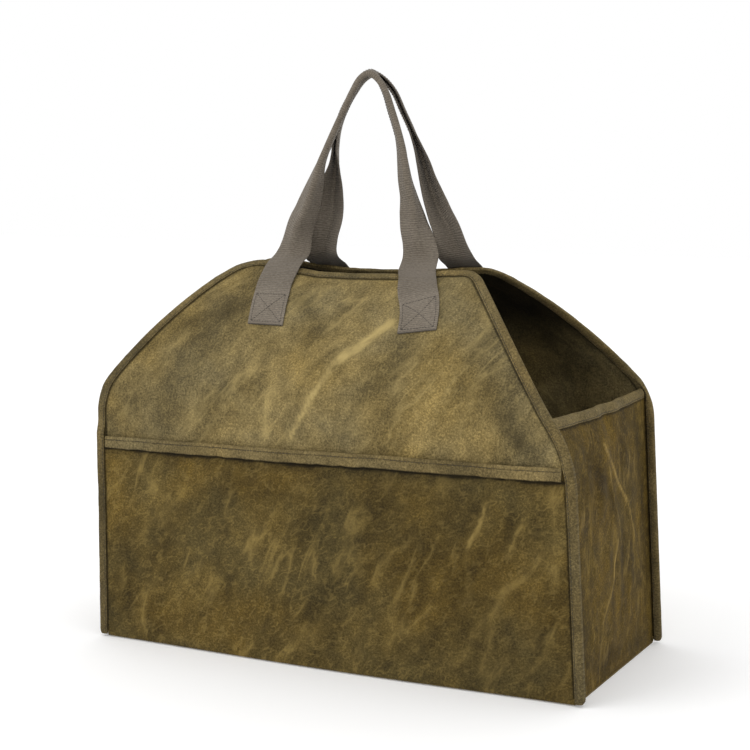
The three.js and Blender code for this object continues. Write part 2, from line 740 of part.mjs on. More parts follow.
// Strap: sewn end on the panel, free run folded lengthwise, sewn end on the panel
function strapPath(side) {
  const rows = side < 0 ? frontStrapRows : backStrapRows;
  const lean = side < 0 ? frontStrapLean : backStrapLean;
  const bow = side < 0 ? frontStrapBow : backStrapBow;
  const centre = side < 0 ? frontStrapCentre : backStrapCentre;
  const spread = side < 0 ? frontStrapSpread : backStrapSpread;
  const profile = profiles[side];
  const foldWidth = strapWidth / 2 + strapFoldRadius - 2;
  const low = cloth / 2 + 1.3 * seatGap + strapWall / 2;
  const high = low + bindingWall + 5 * seatGap;
  const sewn = (end) => {
    const list = [];
    const first = end < 0 ? rows[0] : rows[rows.length - 1];
    const shift = end < 0 ? lean.left : lean.right;
    const bulge = end < 0 ? bow.left : bow.right;
    const x0 = centre + spread * first.place;
    for (const share of [0, 0.3, 0.55, 0.74, 0.84, 0.93, 1]) {
      const v = profile.total - strapOverlap * (1 - share) - 1;
      const x = x0 + strapWidth * (1 - share) * (shift + 4 * bulge * share);
      const offset = low + (high - low) * smooth(0.6, 0.8, share);
      const point = panelOffset(side, x, v, offset);
      const facing = panelOffset(side, x, v, offset - 1).sub(point);
      list.push({ point, facing, fold: 0 });
    }
    return list;
  };
  const free = rows.map((row) => ({
    point: new THREE.Vector3(
      centre + spread * row.place,
      foldWidth * row.depth,
      topHeight + strapRise * row.height,
    ),
    facing: new THREE.Vector3(
      side * Math.sin((row.turn * Math.PI) / 180),
      -side * Math.cos((row.turn * Math.PI) / 180),
      0,
    ),
    fold: row.fold,
  }));
  return [...sewn(-1), ...free, ...sewn(1).reverse()];
}

function strapRing(facing, point, tangent, fold) {
  const inward = facing.clone();
  inward.addScaledVector(tangent, -inward.dot(tangent)).normalize();
  const across = new THREE.Vector3().crossVectors(tangent, inward);
  const limit = (strapFoldLimit * Math.PI) / 180;
  const angle = Math.max(1e-4, fold * limit);
  const bendWidth = strapFoldRadius * limit;
  const outer = [];
  const inner = [];
  for (let i = 0; i <= strapColumns; i++) {
    const share = (2 * i) / strapColumns - 1;
    const sign = Math.sign(share);
    const shaped = sign * Math.pow(Math.abs(share), 1.5);
    const width = Math.abs(shaped) * (strapWidth / 2);
    const bent = Math.min(width, bendWidth);
    const turn = (angle * bent) / bendWidth;
    const radius = bendWidth / angle;
    const beyond = width - bent;
    const a = sign * (radius * Math.sin(turn) + beyond * Math.cos(turn));
    const b = radius * (1 - Math.cos(turn)) + beyond * Math.sin(turn);
    const na = sign * Math.sin(turn);
    const nb = -Math.cos(turn);
    const half = strapWall / 2;
    const at = (d) => point.clone()
      .addScaledVector(across, a + na * d)
      .addScaledVector(inward, b + nb * d);
    outer.push(at(half));
    inner.push(at(-half));
  }
  return { outer, inner };
}

function strap(side) {
  const path = strapPath(side);
  const curve = new THREE.CatmullRomCurve3(path.map((p) => p.point), false, 'centripetal');
  const rows = [];
  const lengths = curve.getLengths(600);
  const total = lengths[lengths.length - 1];
  const knots = path.map((p, i) => lengths[Math.round((600 * i) / (path.length - 1))]);
  const sewnShare = strapOverlap / total;
  for (let i = 0; i <= strapStations; i++) {
    let u = i / strapStations;
    const ends = 7;
    if (i <= ends) u = (sewnShare * i) / ends;
    else if (i >= strapStations - ends) u = 1 - (sewnShare * (strapStations - i)) / ends;
    else u = sewnShare + ((1 - 2 * sewnShare) * (i - ends)) / (strapStations - 2 * ends);
    const at = u * total;
    let k = 1;
    while (k < knots.length - 1 && knots[k] < at) k++;
    const t = (at - knots[k - 1]) / (knots[k] - knots[k - 1]);
    const fold = path[k - 1].fold + (path[k].fold - path[k - 1].fold) * t;
    const facing = path[k - 1].facing.clone().lerp(path[k].facing, t);
    rows.push(strapRing(facing, curve.getPointAt(u), curve.getTangentAt(u), fold));
  }
  return sheetFromRows(rows);
}

// Colours of the waxed canvas, the tape and the webbing
const canvas = { color: 0x6f5d35, roughness: 0.85, metalness: 0 };
const canvasDark = { color: 0x64532f, roughness: 0.85, metalness: 0 };
const tape = { color: 0x75633a, roughness: 0.85, metalness: 0 };
const webbing = { color: 0x736a5e, roughness: 0.9, metalness: 0 };

function addPiece(group, name, geometry, finish) {
  const mesh = new THREE.Mesh(geometry, new THREE.MeshStandardMaterial(finish));
  mesh.name = name;
  group.add(mesh);
}

const carrier = new THREE.Group();
carrier.name = 'log_carrier';
addPiece(carrier, 'body_sheet', bodySheet(), canvas);
addPiece(carrier, 'pocket_panel', pocketPanel(), canvasDark);
addPiece(carrier, 'pocket_binding', pocketBinding(), tape);
addPiece(carrier, 'gusset_left', gussetSheet(-1), canvasDark);
addPiece(carrier, 'gusset_right', gussetSheet(1), canvasDark);
addPiece(carrier, 'gusset_binding_left', gussetBinding(-1), tape);
addPiece(carrier, 'gusset_binding_right', gussetBinding(1), tape);
addPiece(carrier, 'edge_binding_front', edgeBinding(-1), tape);
addPiece(carrier, 'edge_binding_back', edgeBinding(1), tape);
addPiece(carrier, 'handle_front', strap(-1), webbing);
addPiece(carrier, 'handle_back', strap(1), webbing);

export default carrier;
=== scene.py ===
import math

import bmesh
import bpy
import numpy as np
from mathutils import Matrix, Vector


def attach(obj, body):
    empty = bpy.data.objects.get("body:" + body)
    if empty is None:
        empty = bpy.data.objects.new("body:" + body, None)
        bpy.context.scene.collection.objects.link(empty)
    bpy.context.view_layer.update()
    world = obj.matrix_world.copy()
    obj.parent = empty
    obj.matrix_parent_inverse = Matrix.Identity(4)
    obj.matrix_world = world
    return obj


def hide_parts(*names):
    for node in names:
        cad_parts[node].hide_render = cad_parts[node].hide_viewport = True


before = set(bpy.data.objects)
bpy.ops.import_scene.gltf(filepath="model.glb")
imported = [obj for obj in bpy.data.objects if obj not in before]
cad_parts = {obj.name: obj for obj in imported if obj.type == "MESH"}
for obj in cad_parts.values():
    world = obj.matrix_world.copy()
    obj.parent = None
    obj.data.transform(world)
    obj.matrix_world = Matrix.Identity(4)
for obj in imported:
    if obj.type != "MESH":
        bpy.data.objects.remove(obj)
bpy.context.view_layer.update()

# Sizes of the body, in millimetres
BODY_LENGTH = 571.6
BODY_DEPTH = 256.0
GUSSET_HEIGHT = 292.0
TOP_HEIGHT = 432.0
TOP_LENGTH = 288.0
TOP_SHIFT = -17.0
TOP_DISTANCE = {-1: 16.0, 1: 15.0}
LEAN = {-1: 2.0, 1: 17.0}

# Sizes of the cloth, its seams and its bends
CLOTH = 1.6
SEAT_GAP = 0.35
BOTTOM_BEND = 5.0
SHOULDER_ABOVE = 4.0
SHOULDER_BEND = 40.0
SHOULDER_ROUND = 24.0
CORNER_BELOW = 8.0
FRONT_RIGHT_ROUND = 34.0
FRONT_RIGHT_BELOW = 36.0
SLOPE_BOW = 14.0
TOP_CORNER = {-1: 30.0, 1: 18.0}
GUSSET_BEND = 2.4
BINDING_WIDTH = 10.5
BINDING_WALL = 1.0

# Sizes of the pocket
POCKET_HEIGHT = 240.0
POCKET_TILT = 5.0
POCKET_HEM = 14.0
POCKET_MOUTH = 3.0

# Sizes of the straps
STRAP_WIDTH = 44.0
STRAP_WALL = 2.0
STRAP_OVERLAP = 92.0
STRAP_RISE = 210.0
STRAP_FOLD_RADIUS = 2.5
STRAP_FOLD_LIMIT = 91.0
STRAP_CENTRE = {-1: -15.0, 1: 2.0}
STRAP_SPREAD = {-1: 92.0, 1: 91.0}
STRAP_COLUMNS = 29
STITCH_BOX = 38.0
STITCH_INSET = 3.5
STITCH_LIFT = 0.25

# Sizes of the soft shape
BELLY = {-1: 8.0, 1: 8.0}
GUSSET_BELLY = 5.0
TOP_DIP = 20.0
GUSSET_DIP = 2.0
FOLD_DEPTH = 4.0

HALF_DEPTH = BODY_DEPTH / 2
HALF_LENGTH = BODY_LENGTH / 2
LAYER_STEP = CLOTH + SEAT_GAP
SEAM_REACH = BINDING_WIDTH - BINDING_WALL - SEAT_GAP
BOTTOM_Z = CLOTH / 2 + BOTTOM_BEND
SHOULDER_Z = GUSSET_HEIGHT + SHOULDER_ABOVE
BOTTOM_ARC = math.pi / 2 * BOTTOM_BEND
MM = 0.001

# Belly of the lower panel: height as a share of the shoulder height, push as a share of the belly
BELLY_ROWS = [(0.0, 0.75), (0.35, 1.0), (0.7, 0.7), (1.0, -0.35), (1.15, -0.1), (1.3, 0.0)]

# Dip of the top edge: place as a share of half the top length, drop as a share of the dip
DIP_ROWS = [(-1.0, 0.0), (-0.85, 0.06), (-0.7, 0.3), (-0.48, 0.76), (-0.25, 0.97), (0.0, 1.0),
            (0.35, 0.9), (0.6, 0.65), (0.8, 0.42), (1.0, 0.27)]

# Soft folds: across, up, turn in degrees, long, wide, push
FOLDS = {
    -1: [
        (-0.31, 1.12, 52, 0.17, 0.05, 0.9),
        (-0.4, 0.93, 60, 0.12, 0.045, -0.7),
        (-0.02, 1.1, 58, 0.22, 0.05, 0.8),
        (0.12, 0.93, 62, 0.2, 0.05, -0.6),
        (0.33, 1.0, -55, 0.15, 0.05, 0.7),
        (-0.28, 0.4, 40, 0.16, 0.06, -0.5),
        (0.28, 0.42, -48, 0.18, 0.06, -0.6),
    ],
    1: [
        (-0.25, 1.05, 55, 0.18, 0.05, 0.6),
        (0.2, 1.0, -50, 0.18, 0.05, 0.6),
        (0.0, 0.5, 20, 0.2, 0.06, -0.5),
    ],
}

# Upright folds of the gusset: along, wide, low, push
GUSSET_FOLDS = [(-0.3, 0.07, 0.0, -0.6), (-0.12, 0.08, 0.15, 0.6), (0.1, 0.07, 0.1, -0.9),
                (0.28, 0.08, 0.3, 0.5)]

# Paths of the straps: place, depth, height, fold, turn in degrees
STRAP_ROWS = {
    -1: [
        (-1.05, -0.74, 0.045, 0.16, 0), (-0.973, -0.77, 0.12, 0.44, 5),
        (-0.867, -0.8, 0.2, 0.55, 13), (-0.747, -0.92, 0.28, 0.63, 20),
        (-0.658, -1.0, 0.36, 0.72, 22), (-0.59, -1.05, 0.44, 0.83, 22),
        (-0.527, -1.06, 0.52, 0.94, 22), (-0.445, -1.02, 0.6, 1.0, 22),
        (-0.335, -0.97, 0.7, 1.0, 22), (-0.213, -0.97, 0.8, 1.0, 22),
        (-0.09, -0.97, 0.9, 1.0, 23), (0.02, -0.97, 0.97, 1.0, 25),
        (0.13, -0.97, 0.995, 1.0, 26), (0.25, -0.97, 0.967, 1.0, 28),
        (0.361, -0.97, 0.9, 1.0, 31), (0.449, -0.97, 0.8, 1.0, 33),
        (0.527, -0.97, 0.7, 1.0, 33), (0.588, -0.96, 0.6, 0.93, 33),
        (0.613, -0.94, 0.52, 0.88, 33), (0.636, -0.9, 0.44, 0.83, 33),
        (0.679, -0.87, 0.36, 0.76, 33), (0.705, -0.84, 0.28, 0.64, 31),
        (0.704, -0.8, 0.2, 0.52, 20), (0.71, -0.77, 0.12, 0.35, 7),
        (0.739, -0.74, 0.045, 0.12, 0),
    ],
    1: [
        (-0.84, 0.74, 0.045, 0.3, 6), (-0.818, 0.77, 0.12, 0.36, 4),
        (-0.802, 0.8, 0.2, 0.48, 12), (-0.801, 0.92, 0.28, 0.55, 19),
        (-0.794, 1.0, 0.36, 0.63, 20), (-0.785, 1.05, 0.44, 0.73, 20),
        (-0.759, 1.06, 0.52, 0.89, 20), (-0.749, 1.02, 0.6, 1.0, 20),
        (-0.711, 0.97, 0.7, 1.0, 20), (-0.627, 0.97, 0.8, 1.0, 20),
        (-0.487, 0.97, 0.9, 1.0, 21), (-0.35, 0.97, 0.97, 1.0, 22),
        (-0.22, 0.97, 0.995, 1.0, 22), (-0.08, 0.97, 0.965, 1.0, 23),
        (0.06, 0.97, 0.9, 1.0, 24), (0.179, 0.97, 0.8, 1.0, 24),
        (0.296, 0.97, 0.7, 1.0, 24), (0.398, 0.96, 0.6, 0.93, 24),
        (0.467, 0.94, 0.52, 0.84, 24), (0.528, 0.9, 0.44, 0.78, 24),
        (0.601, 0.87, 0.36, 0.7, 24), (0.69, 0.84, 0.28, 0.63, 22),
        (0.801, 0.8, 0.2, 0.56, 14), (0.9, 0.77, 0.12, 0.44, 5),
        (0.966, 0.74, 0.045, 0.16, 0),
    ],
}
STRAP_LEAN = {-1: (0.36, 0.8), 1: (0.0, 0.0)}
STRAP_BOW = {-1: (0.0, 0.16), 1: (0.0, 0.0)}
STRAP_DRIFT = {-1: (3.5, 4.0), 1: (-6.0, 1.0)}

# Light crease lines, where the wax is pulled up, and lines of painted shade in dents and folds; on the
# end panels the dent lines also press the cloth in. From and to as shares of length and height, width,
# strength
FRONT_CREASES = [
    (0.10, 0.84, 0.0, 0.7, 0.010, 1.0), (0.0, 0.7, -0.075, 0.52, 0.010, 0.9),
    (0.02, 0.78, -0.1, 0.64, 0.007, 0.4), (-0.12, 0.62, -0.135, 0.53, 0.008, 0.6),
    (-0.24, 0.62, -0.31, 0.53, 0.006, 0.5), (-0.17, 0.8, -0.3, 0.66, 0.007, 0.35),
    (-0.33, 0.76, -0.42, 0.62, 0.006, 0.45), (0.29, 0.68, 0.265, 0.56, 0.008, 0.5),
    (0.2, 0.82, 0.12, 0.62, 0.007, 0.3),
]
FRONT_DENT_SHADE = [
    (-0.42, 0.5, -0.24, 0.86, 0.09, 0.5), (0.24, 0.95, 0.32, 0.6, 0.07, 0.3),
    (-0.36, 0.84, -0.18, 0.9, 0.03, 0.55), (-0.42, 0.72, -0.25, 0.84, 0.035, 0.8),
    (-0.1, 0.88, -0.08, 0.84, 0.022, 0.6), (0.36, 0.62, 0.4, 0.54, 0.028, 0.8),
    (0.16, 0.8, 0.1, 0.6, 0.035, 0.45), (-0.2, 0.7, -0.28, 0.58, 0.03, 0.35),
]
POCKET_CREASES = [
    (0.33, 0.84, 0.29, 0.6, 0.006, 0.9), (0.45, 0.9, 0.47, 0.5, 0.006, 0.5),
    (-0.42, 0.9, -0.35, 0.7, 0.007, 0.5), (0.46, 0.3, 0.4, 0.04, 0.006, 0.5),
    (0.29, 0.6, 0.285, 0.35, 0.006, 0.5), (0.43, 0.62, 0.36, 0.42, 0.012, 0.6),
    (0.36, 0.42, 0.26, 0.06, 0.008, 0.5), (0.17, 0.5, 0.13, 0.1, 0.006, 0.5),
    (0.22, 0.36, 0.17, 0.16, 0.005, 0.6), (0.4, 0.75, 0.37, 0.62, 0.006, 0.6),
    (-0.25, 0.5, -0.31, 0.3, 0.006, 0.4), (-0.3, 0.8, -0.42, 0.5, 0.007, 0.4),
    (-0.1, 0.72, -0.2, 0.4, 0.007, 0.3), (-0.38, 0.3, -0.44, 0.1, 0.008, 0.35),
    (0.02, 0.3, -0.05, 0.08, 0.007, 0.3),
]
POCKET_DENT_SHADE = [
    (0.16, 0.9, 0.4, 0.05, 0.16, 0.55), (0.3, 0.8, 0.2, 0.55, 0.035, 0.5),
    (0.42, 0.78, 0.45, 0.3, 0.025, 0.4), (-0.2, 0.84, -0.34, 0.6, 0.035, 0.4),
    (-0.44, 0.5, -0.46, 0.1, 0.03, 0.5), (0.34, 0.3, 0.4, 0.1, 0.035, 0.5),
    (0.05, 0.6, -0.02, 0.2, 0.04, 0.35),
]
END_CREASES = [
    (0.44, 0.8, 0.58, 0.44, 0.010, 0.8), (0.22, 0.6, 0.26, 0.4, 0.010, 0.5),
    (0.68, 0.3, 0.64, 0.1, 0.010, 0.5), (0.38, 0.88, 0.69, 0.6, 0.016, 0.8),
    (0.69, 0.6, 0.76, 0.46, 0.012, 0.8), (0.5, 0.5, 0.46, 0.36, 0.014, 0.9),
    (0.46, 0.36, 0.3, 0.22, 0.012, 0.7), (0.18, 0.34, 0.23, 0.18, 0.010, 0.6),
    (0.76, 0.42, 0.92, 0.24, 0.010, 0.6), (0.62, 0.9, 0.84, 0.66, 0.010, 0.5),
    (0.84, 0.5, 0.88, 0.12, 0.009, 0.5), (0.12, 0.9, 0.3, 0.7, 0.012, 0.45),
    (0.36, 0.16, 0.6, 0.08, 0.010, 0.5), (0.58, 0.34, 0.5, 0.12, 0.009, 0.45),
]
END_DENTS_AND_SHADE = [
    (0.3, 0.8, 0.52, 0.62, 0.04, 0.6), (0.6, 0.5, 0.56, 0.2, 0.04, 0.6),
    (0.86, 0.9, 0.92, 0.5, 0.04, 0.6), (0.1, 0.5, 0.12, 0.1, 0.03, 0.6),
    (0.3, 0.08, 0.8, 0.05, 0.04, 0.5),
]


def smooth(low, high, value):
    t = np.clip((np.asarray(value, float) - low) / (high - low), 0.0, 1.0)
    return t * t * (3 - 2 * t)


def table_value(rows, at):
    """Value of a two-column table, eased between its rows."""
    keys = np.array([row[0] for row in rows])
    values = np.array([row[1] for row in rows])
    at = np.clip(np.asarray(at, float), keys[0], keys[-1])
    i = np.clip(np.searchsorted(keys, at, side="right") - 1, 0, len(keys) - 2)
    t = (at - keys[i]) / (keys[i + 1] - keys[i])
    t = t * t * (3 - 2 * t)
    return values[i] + (values[i + 1] - values[i]) * t


def soft_noise(a, b, size, seed, waves=14):
    """Smooth random field with features of about the given size, from minus one to one."""
    random = np.random.default_rng(seed)
    total = np.zeros(np.broadcast(a, b).shape)
    for _ in range(waves):
        angle = random.uniform(0, 2 * math.pi)
        length = size * random.uniform(0.7, 1.6)
        phase = random.uniform(0, 2 * math.pi)
        along = a * math.cos(angle) + b * math.sin(angle)
        total = total + np.sin(2 * math.pi * along / length + phase)
    return total / math.sqrt(waves / 2) / 1.6


def line_marks(rows, a, b, length, height, seed):
    """How strongly a place lies on one of the lines of a table, from zero to one."""
    wander = 0.006 * length * soft_noise(a, b, 0.12 * length, seed)
    wander = wander + 0.0014 * length * soft_noise(a, b, 0.03 * length, seed + 1)
    total = np.zeros(np.broadcast(a, b).shape)
    for a0, b0, a1, b1, wide, strength in rows:
        start = np.array([a0 * length, b0 * height])
        along = np.array([a1 * length, b1 * height]) - start
        size = np.linalg.norm(along)
        along = along / size
        da, db = a - start[0], b - start[1]
        place = (da * along[0] + db * along[1]) / size
        off = -da * along[1] + db * along[0] + wander
        past = np.maximum(0, np.abs(place - 0.5) - 0.42) * size
        spread = wide * length
        line = strength * np.exp(-(off / spread) ** 2 - (past / (2 * spread)) ** 2)
        total = np.maximum(total, line)
    return total


# Height profile of one panel
def make_profile(top_distance):
    turn = 0.4
    for _ in range(12):
        wall = SHOULDER_Z - SHOULDER_BEND * math.tan(turn / 2) - BOTTOM_Z
        across = HALF_DEPTH - top_distance - SHOULDER_BEND * (1 - math.cos(turn))
        up = TOP_HEIGHT - BOTTOM_Z - wall - SHOULDER_BEND * math.sin(turn)
        chord = math.hypot(across, up)
        half = 2 * math.atan(2 * SLOPE_BOW / chord)
        turn = math.atan2(across, up) - half
    arc = SHOULDER_BEND * turn
    radius = chord / (2 * math.sin(half))
    return {"turn": turn, "wall": wall, "arc": arc, "radius": radius,
            "shoulder": wall + arc, "total": wall + arc + 2 * half * radius}


PROFILE = {side: make_profile(TOP_DISTANCE[side]) for side in (-1, 1)}


def seam_edge(end, z):
    return end * (HALF_LENGTH + SEAM_REACH - LEAN[end] * z / GUSSET_HEIGHT)


def shoulder_corner(side, end):
    """Height of a panel's shoulder corner and its rounding, at one end."""
    if side < 0 and end > 0:
        return GUSSET_HEIGHT - FRONT_RIGHT_BELOW - BOTTOM_Z, FRONT_RIGHT_ROUND
    return GUSSET_HEIGHT - CORNER_BELOW - BOTTOM_Z, SHOULDER_ROUND


def cut_edge(side, end, v):
    """Cut edge of a panel at a height: seam, rounded shoulder, slanted edge, top corner."""
    total = PROFILE[side]["total"]
    v = np.clip(np.asarray(v, float), 0.0, total)
    corner, rounding = shoulder_corner(side, end)
    top_round = TOP_CORNER[end]
    top = TOP_SHIFT + end * TOP_LENGTH / 2
    foot = seam_edge(end, BOTTOM_Z + corner)

    def slanted(height):
        return foot + (top - foot) * (height - corner) / (total - corner)

    t = np.clip((v - corner + rounding) / (2 * rounding), 0, 1)
    start = seam_edge(end, BOTTOM_Z + corner - rounding)
    bend = ((1 - t) ** 2 * start + 2 * t * (1 - t) * foot
            + t * t * slanted(corner + rounding))
    u = 1 - np.sqrt((total - v) / top_round).clip(0, 1)
    tip = ((1 - u) ** 2 * slanted(total - top_round) + 2 * u * (1 - u) * top
           + u * u * (top - end * top_round))
    return np.select([v <= corner - rounding, v <= corner + rounding, v <= total - top_round],
                     [seam_edge(end, BOTTOM_Z + v), bend, slanted(v)], tip)


def make_outline(side):
    """Outline rows of one panel: height along the profile, left edge, right edge."""
    total = PROFILE[side]["total"]
    curl = max(TOP_CORNER.values())
    low = np.linspace(2, GUSSET_HEIGHT - BOTTOM_Z - 76, 40)
    middle = np.linspace(GUSSET_HEIGHT - BOTTOM_Z - 76, GUSSET_HEIGHT - BOTTOM_Z + 20, 40)
    high = np.linspace(GUSSET_HEIGHT - BOTTOM_Z + 20, total - curl, 24)
    tip = total - curl * (1 - np.linspace(0, 1, 25)) ** 2
    v = np.concatenate([low, middle[1:], high[1:], tip[1:]])
    return np.stack([v, cut_edge(side, -1, v), cut_edge(side, 1, v)], -1)


OUTLINE = {side: make_outline(side) for side in (-1, 1)}


def panel_edges(side, v):
    return cut_edge(side, -1, v), cut_edge(side, 1, v)


def gusset_plane(end, y, z):
    """Place of an end panel: where a panel's outline draws in, it follows near that panel."""
    slack = SEAM_REACH - GUSSET_BEND - 1

    def drawn(side):
        edge = cut_edge(side, end, z - BOTTOM_Z)
        return np.maximum(0, end * (seam_edge(end, z) - edge) - slack)

    share = np.clip((y + HALF_DEPTH) / BODY_DEPTH, 0, 1)
    shift = drawn(-1) * (1 - share) + drawn(1) * share
    return end * (HALF_LENGTH - CLOTH / 2 - LEAN[end] * z / GUSSET_HEIGHT - shift)


def strap_share(side, x):
    """How far a place on a panel is from its sewn straps, where the folds fade."""
    rows = STRAP_ROWS[side]
    lean = STRAP_LEAN[side]
    left = STRAP_CENTRE[side] + STRAP_SPREAD[side] * rows[0][0] + lean[0] * STRAP_WIDTH / 2
    right = STRAP_CENTRE[side] + STRAP_SPREAD[side] * rows[-1][0] + lean[1] * STRAP_WIDTH / 2
    near = np.minimum(np.abs(x - left), np.abs(x - right))
    return smooth(STRAP_WIDTH * 0.85, STRAP_WIDTH * 1.6, near)


def fold_sum(folds, x, z):
    total = np.zeros(np.broadcast(x, z).shape)
    for across, up, turn, long, wide, push in folds:
        angle = math.radians(turn)
        dx = x - across * BODY_LENGTH
        dz = z - up * GUSSET_HEIGHT
        along = (dx * math.cos(angle) + dz * math.sin(angle)) / (long * BODY_LENGTH)
        side = (-dx * math.sin(angle) + dz * math.cos(angle)) / (wide * BODY_LENGTH)
        total = total + push * np.exp(-along * along - side * side)
    return total


def panel_point(side, x, v):
    """Middle surface of a panel. Points are along the last axis."""
    profile = PROFILE[side]
    x, v = np.broadcast_arrays(np.asarray(x, float), np.asarray(v, float))
    crown = (1 - np.minimum(1, np.abs(x) / HALF_LENGTH) ** 2) ** 2
    shoulder = profile["shoulder"]
    place = (x - TOP_SHIFT) / (TOP_LENGTH / 2)
    drop = TOP_DIP * table_value(DIP_ROWS, place)
    above = np.maximum(0, v - shoulder)
    height = v - drop * above / (profile["total"] - shoulder)

    round_ = np.minimum(BOTTOM_ARC, np.maximum(0, -height)) / BOTTOM_BEND
    beyond = np.maximum(0, -height - BOTTOM_ARC)
    low_y = HALF_DEPTH - BOTTOM_BEND * (1 - np.cos(round_)) - beyond
    low_y = low_y + BELLY[side] * BELLY_ROWS[0][1] * crown * (
        1 - beyond / (HALF_DEPTH - BOTTOM_BEND))
    low_z = BOTTOM_Z - BOTTOM_BEND * np.sin(round_)

    wall = np.clip(height, 0, profile["wall"])
    turn = np.clip(height - profile["wall"], 0, profile["arc"]) / SHOULDER_BEND
    slope = np.maximum(0, height - shoulder) / profile["radius"]
    inward = SHOULDER_BEND * (1 - np.cos(turn))
    z = BOTTOM_Z + wall + SHOULDER_BEND * np.sin(turn)
    start = profile["turn"]
    inward = inward + profile["radius"] * (math.cos(start) - np.cos(start + slope)) * (slope > 0)
    z = z + profile["radius"] * (np.sin(start + slope) - math.sin(start)) * (slope > 0)
    turn = turn + slope

    left, right = panel_edges(side, v)
    rim = np.minimum(x - left, right - x)
    fade = (smooth(BINDING_WIDTH * 1.2, BINDING_WIDTH * 5, rim)
            * smooth(BINDING_WIDTH * 1.2, BINDING_WIDTH * 5, profile["total"] - v)
            * smooth(0, BINDING_WIDTH * 3.5, height))
    push = BELLY[side] * crown * table_value(BELLY_ROWS, z / SHOULDER_Z)
    sewn = np.where(v > shoulder, strap_share(side, x), 1.0)
    push = push + FOLD_DEPTH * fade * sewn * fold_sum(FOLDS[side], x, z)
    push = push + fade * sewn * 0.5 * soft_noise(x, v, 70.0, 11 + side)
    high_y = HALF_DEPTH - inward + push * np.cos(turn)
    high_z = z + push * np.sin(turn)
    low = height < 0
    return np.stack([x, side * np.where(low, low_y, high_y), np.where(low, low_z, high_z)], -1)


def panel_offset(side, x, v, distance):
    x, v, distance = np.broadcast_arrays(
        np.asarray(x, float), np.asarray(v, float), np.asarray(distance, float))
    step = 0.4
    across = panel_point(side, x + step, v) - panel_point(side, x - step, v)
    up = panel_point(side, x, v + step) - panel_point(side, x, v - step)
    normal = np.cross(across, up) * (1 if side < 0 else -1)
    normal = normal / np.linalg.norm(normal, axis=-1, keepdims=True)
    return panel_point(side, x, v) + normal * distance[..., None]


# Meshes
def new_object(name, points, faces, material, uv=None, sharp=50.0, marks=None):
    """Mesh object from millimetre points, with a flat map in metres and smooth shading."""
    mesh = bpy.data.meshes.new(name)
    mesh.from_pydata((np.asarray(points) * MM).tolist(), [], [list(map(int, f)) for f in faces])
    if uv is not None:
        layer = mesh.uv_layers.new(name="flat")
        loops = np.empty(len(mesh.loops), int)
        mesh.loops.foreach_get("vertex_index", loops)
        layer.data.foreach_set("uv", (np.asarray(uv)[loops] * MM).ravel())
    for key, values in (marks or {}).items():
        attribute = mesh.attributes.new(key, "FLOAT", "POINT")
        attribute.data.foreach_set("value", np.asarray(values, float).ravel())
    work = bmesh.new()
    work.from_mesh(mesh)
    bmesh.ops.recalc_face_normals(work, faces=work.faces)
    limit = math.radians(sharp)
    for edge in work.edges:
        if len(edge.link_faces) == 2 and edge.calc_face_angle(0.0) > limit:
            edge.smooth = False
    for face in work.faces:
        face.smooth = True
    work.to_mesh(mesh)
    work.free()
    mesh.materials.append(material)
    obj = bpy.data.objects.new(name, mesh)
    bpy.context.scene.collection.objects.link(obj)
    return obj


def grid_sheet(name, outer, inner, flat, material, marks):
    """Sheet with a wall from two grids of points, rows by columns."""
    rows, columns = outer.shape[:2]
    count = rows * columns
    index = np.arange(count).reshape(rows, columns)
    faces = []
    a, b = index[:-1, :-1].ravel(), index[:-1, 1:].ravel()
    c, d = index[1:, 1:].ravel(), index[1:, :-1].ravel()
    faces += np.stack([a, b, c, d], 1).tolist()
    faces += (np.stack([d, c, b, a], 1) + count).tolist()
    rim = np.concatenate([index[0], index[1:, -1], index[-1, -2::-1], index[-2:0:-1, 0]])
    after = np.roll(rim, -1)
    faces += np.stack([after, rim, rim + count, after + count], 1).tolist()
    points = np.concatenate([outer.reshape(-1, 3), inner.reshape(-1, 3)])
    uv = np.concatenate([flat.reshape(-1, 2), flat.reshape(-1, 2) + [0, 900.0]])
    marks = dict(marks)
    # Painted shade on the inner face: the inner grid takes the given inside value, the outer grid none.
    inside = np.broadcast_to(marks.pop("inside", 1.0), (rows, columns)).ravel()
    marks = {key: np.concatenate([value.ravel(), value.ravel()]) for key, value in marks.items()}
    marks["inside"] = np.concatenate([0 * inside, inside])
    return new_object(name, points, faces, material, uv, marks=marks)


def sweep(name, section, at, least=0.0, paler=0.0):
    """Tape from a section: its rings of points, how much painted shade each carries, and its place
    across. The least shade along the tape is given, and paler lightens all of it.
    """
    rings, dark, cross = section
    rings = np.stack(rings, 1)
    flat = np.stack([np.stack([np.broadcast_to(c, at.shape), at], -1) for c in cross], 1)
    shade = np.maximum(np.array(dark)[None, :], np.broadcast_to(least, at.shape)[:, None])
    stations, count = rings.shape[:2]
    index = np.arange(stations * count).reshape(stations, count)
    faces = []
    nxt = np.roll(index, -1, axis=1)
    a, b = index[:-1].ravel(), nxt[:-1].ravel()
    c, d = nxt[1:].ravel(), index[1:].ravel()
    faces += np.stack([a, b, c, d], 1).tolist()
    faces.append(index[0][::-1].tolist())
    faces.append(index[-1].tolist())
    return new_object(name, rings.reshape(-1, 3), faces, edge_tape, flat.reshape(-1, 2),
                      marks={"seam": shade - paler})


def spaced(path, step):
    """Points of a polyline at an even spacing, with their distance along it."""
    path = np.asarray(path, float)
    length = np.concatenate([[0], np.cumsum(np.linalg.norm(np.diff(path, axis=0), axis=1))])
    count = max(2, int(round(length[-1] / step)) + 1)
    at = np.linspace(0, length[-1], count)
    return np.stack([np.interp(at, length, path[:, k]) for k in range(path.shape[1])], -1), at


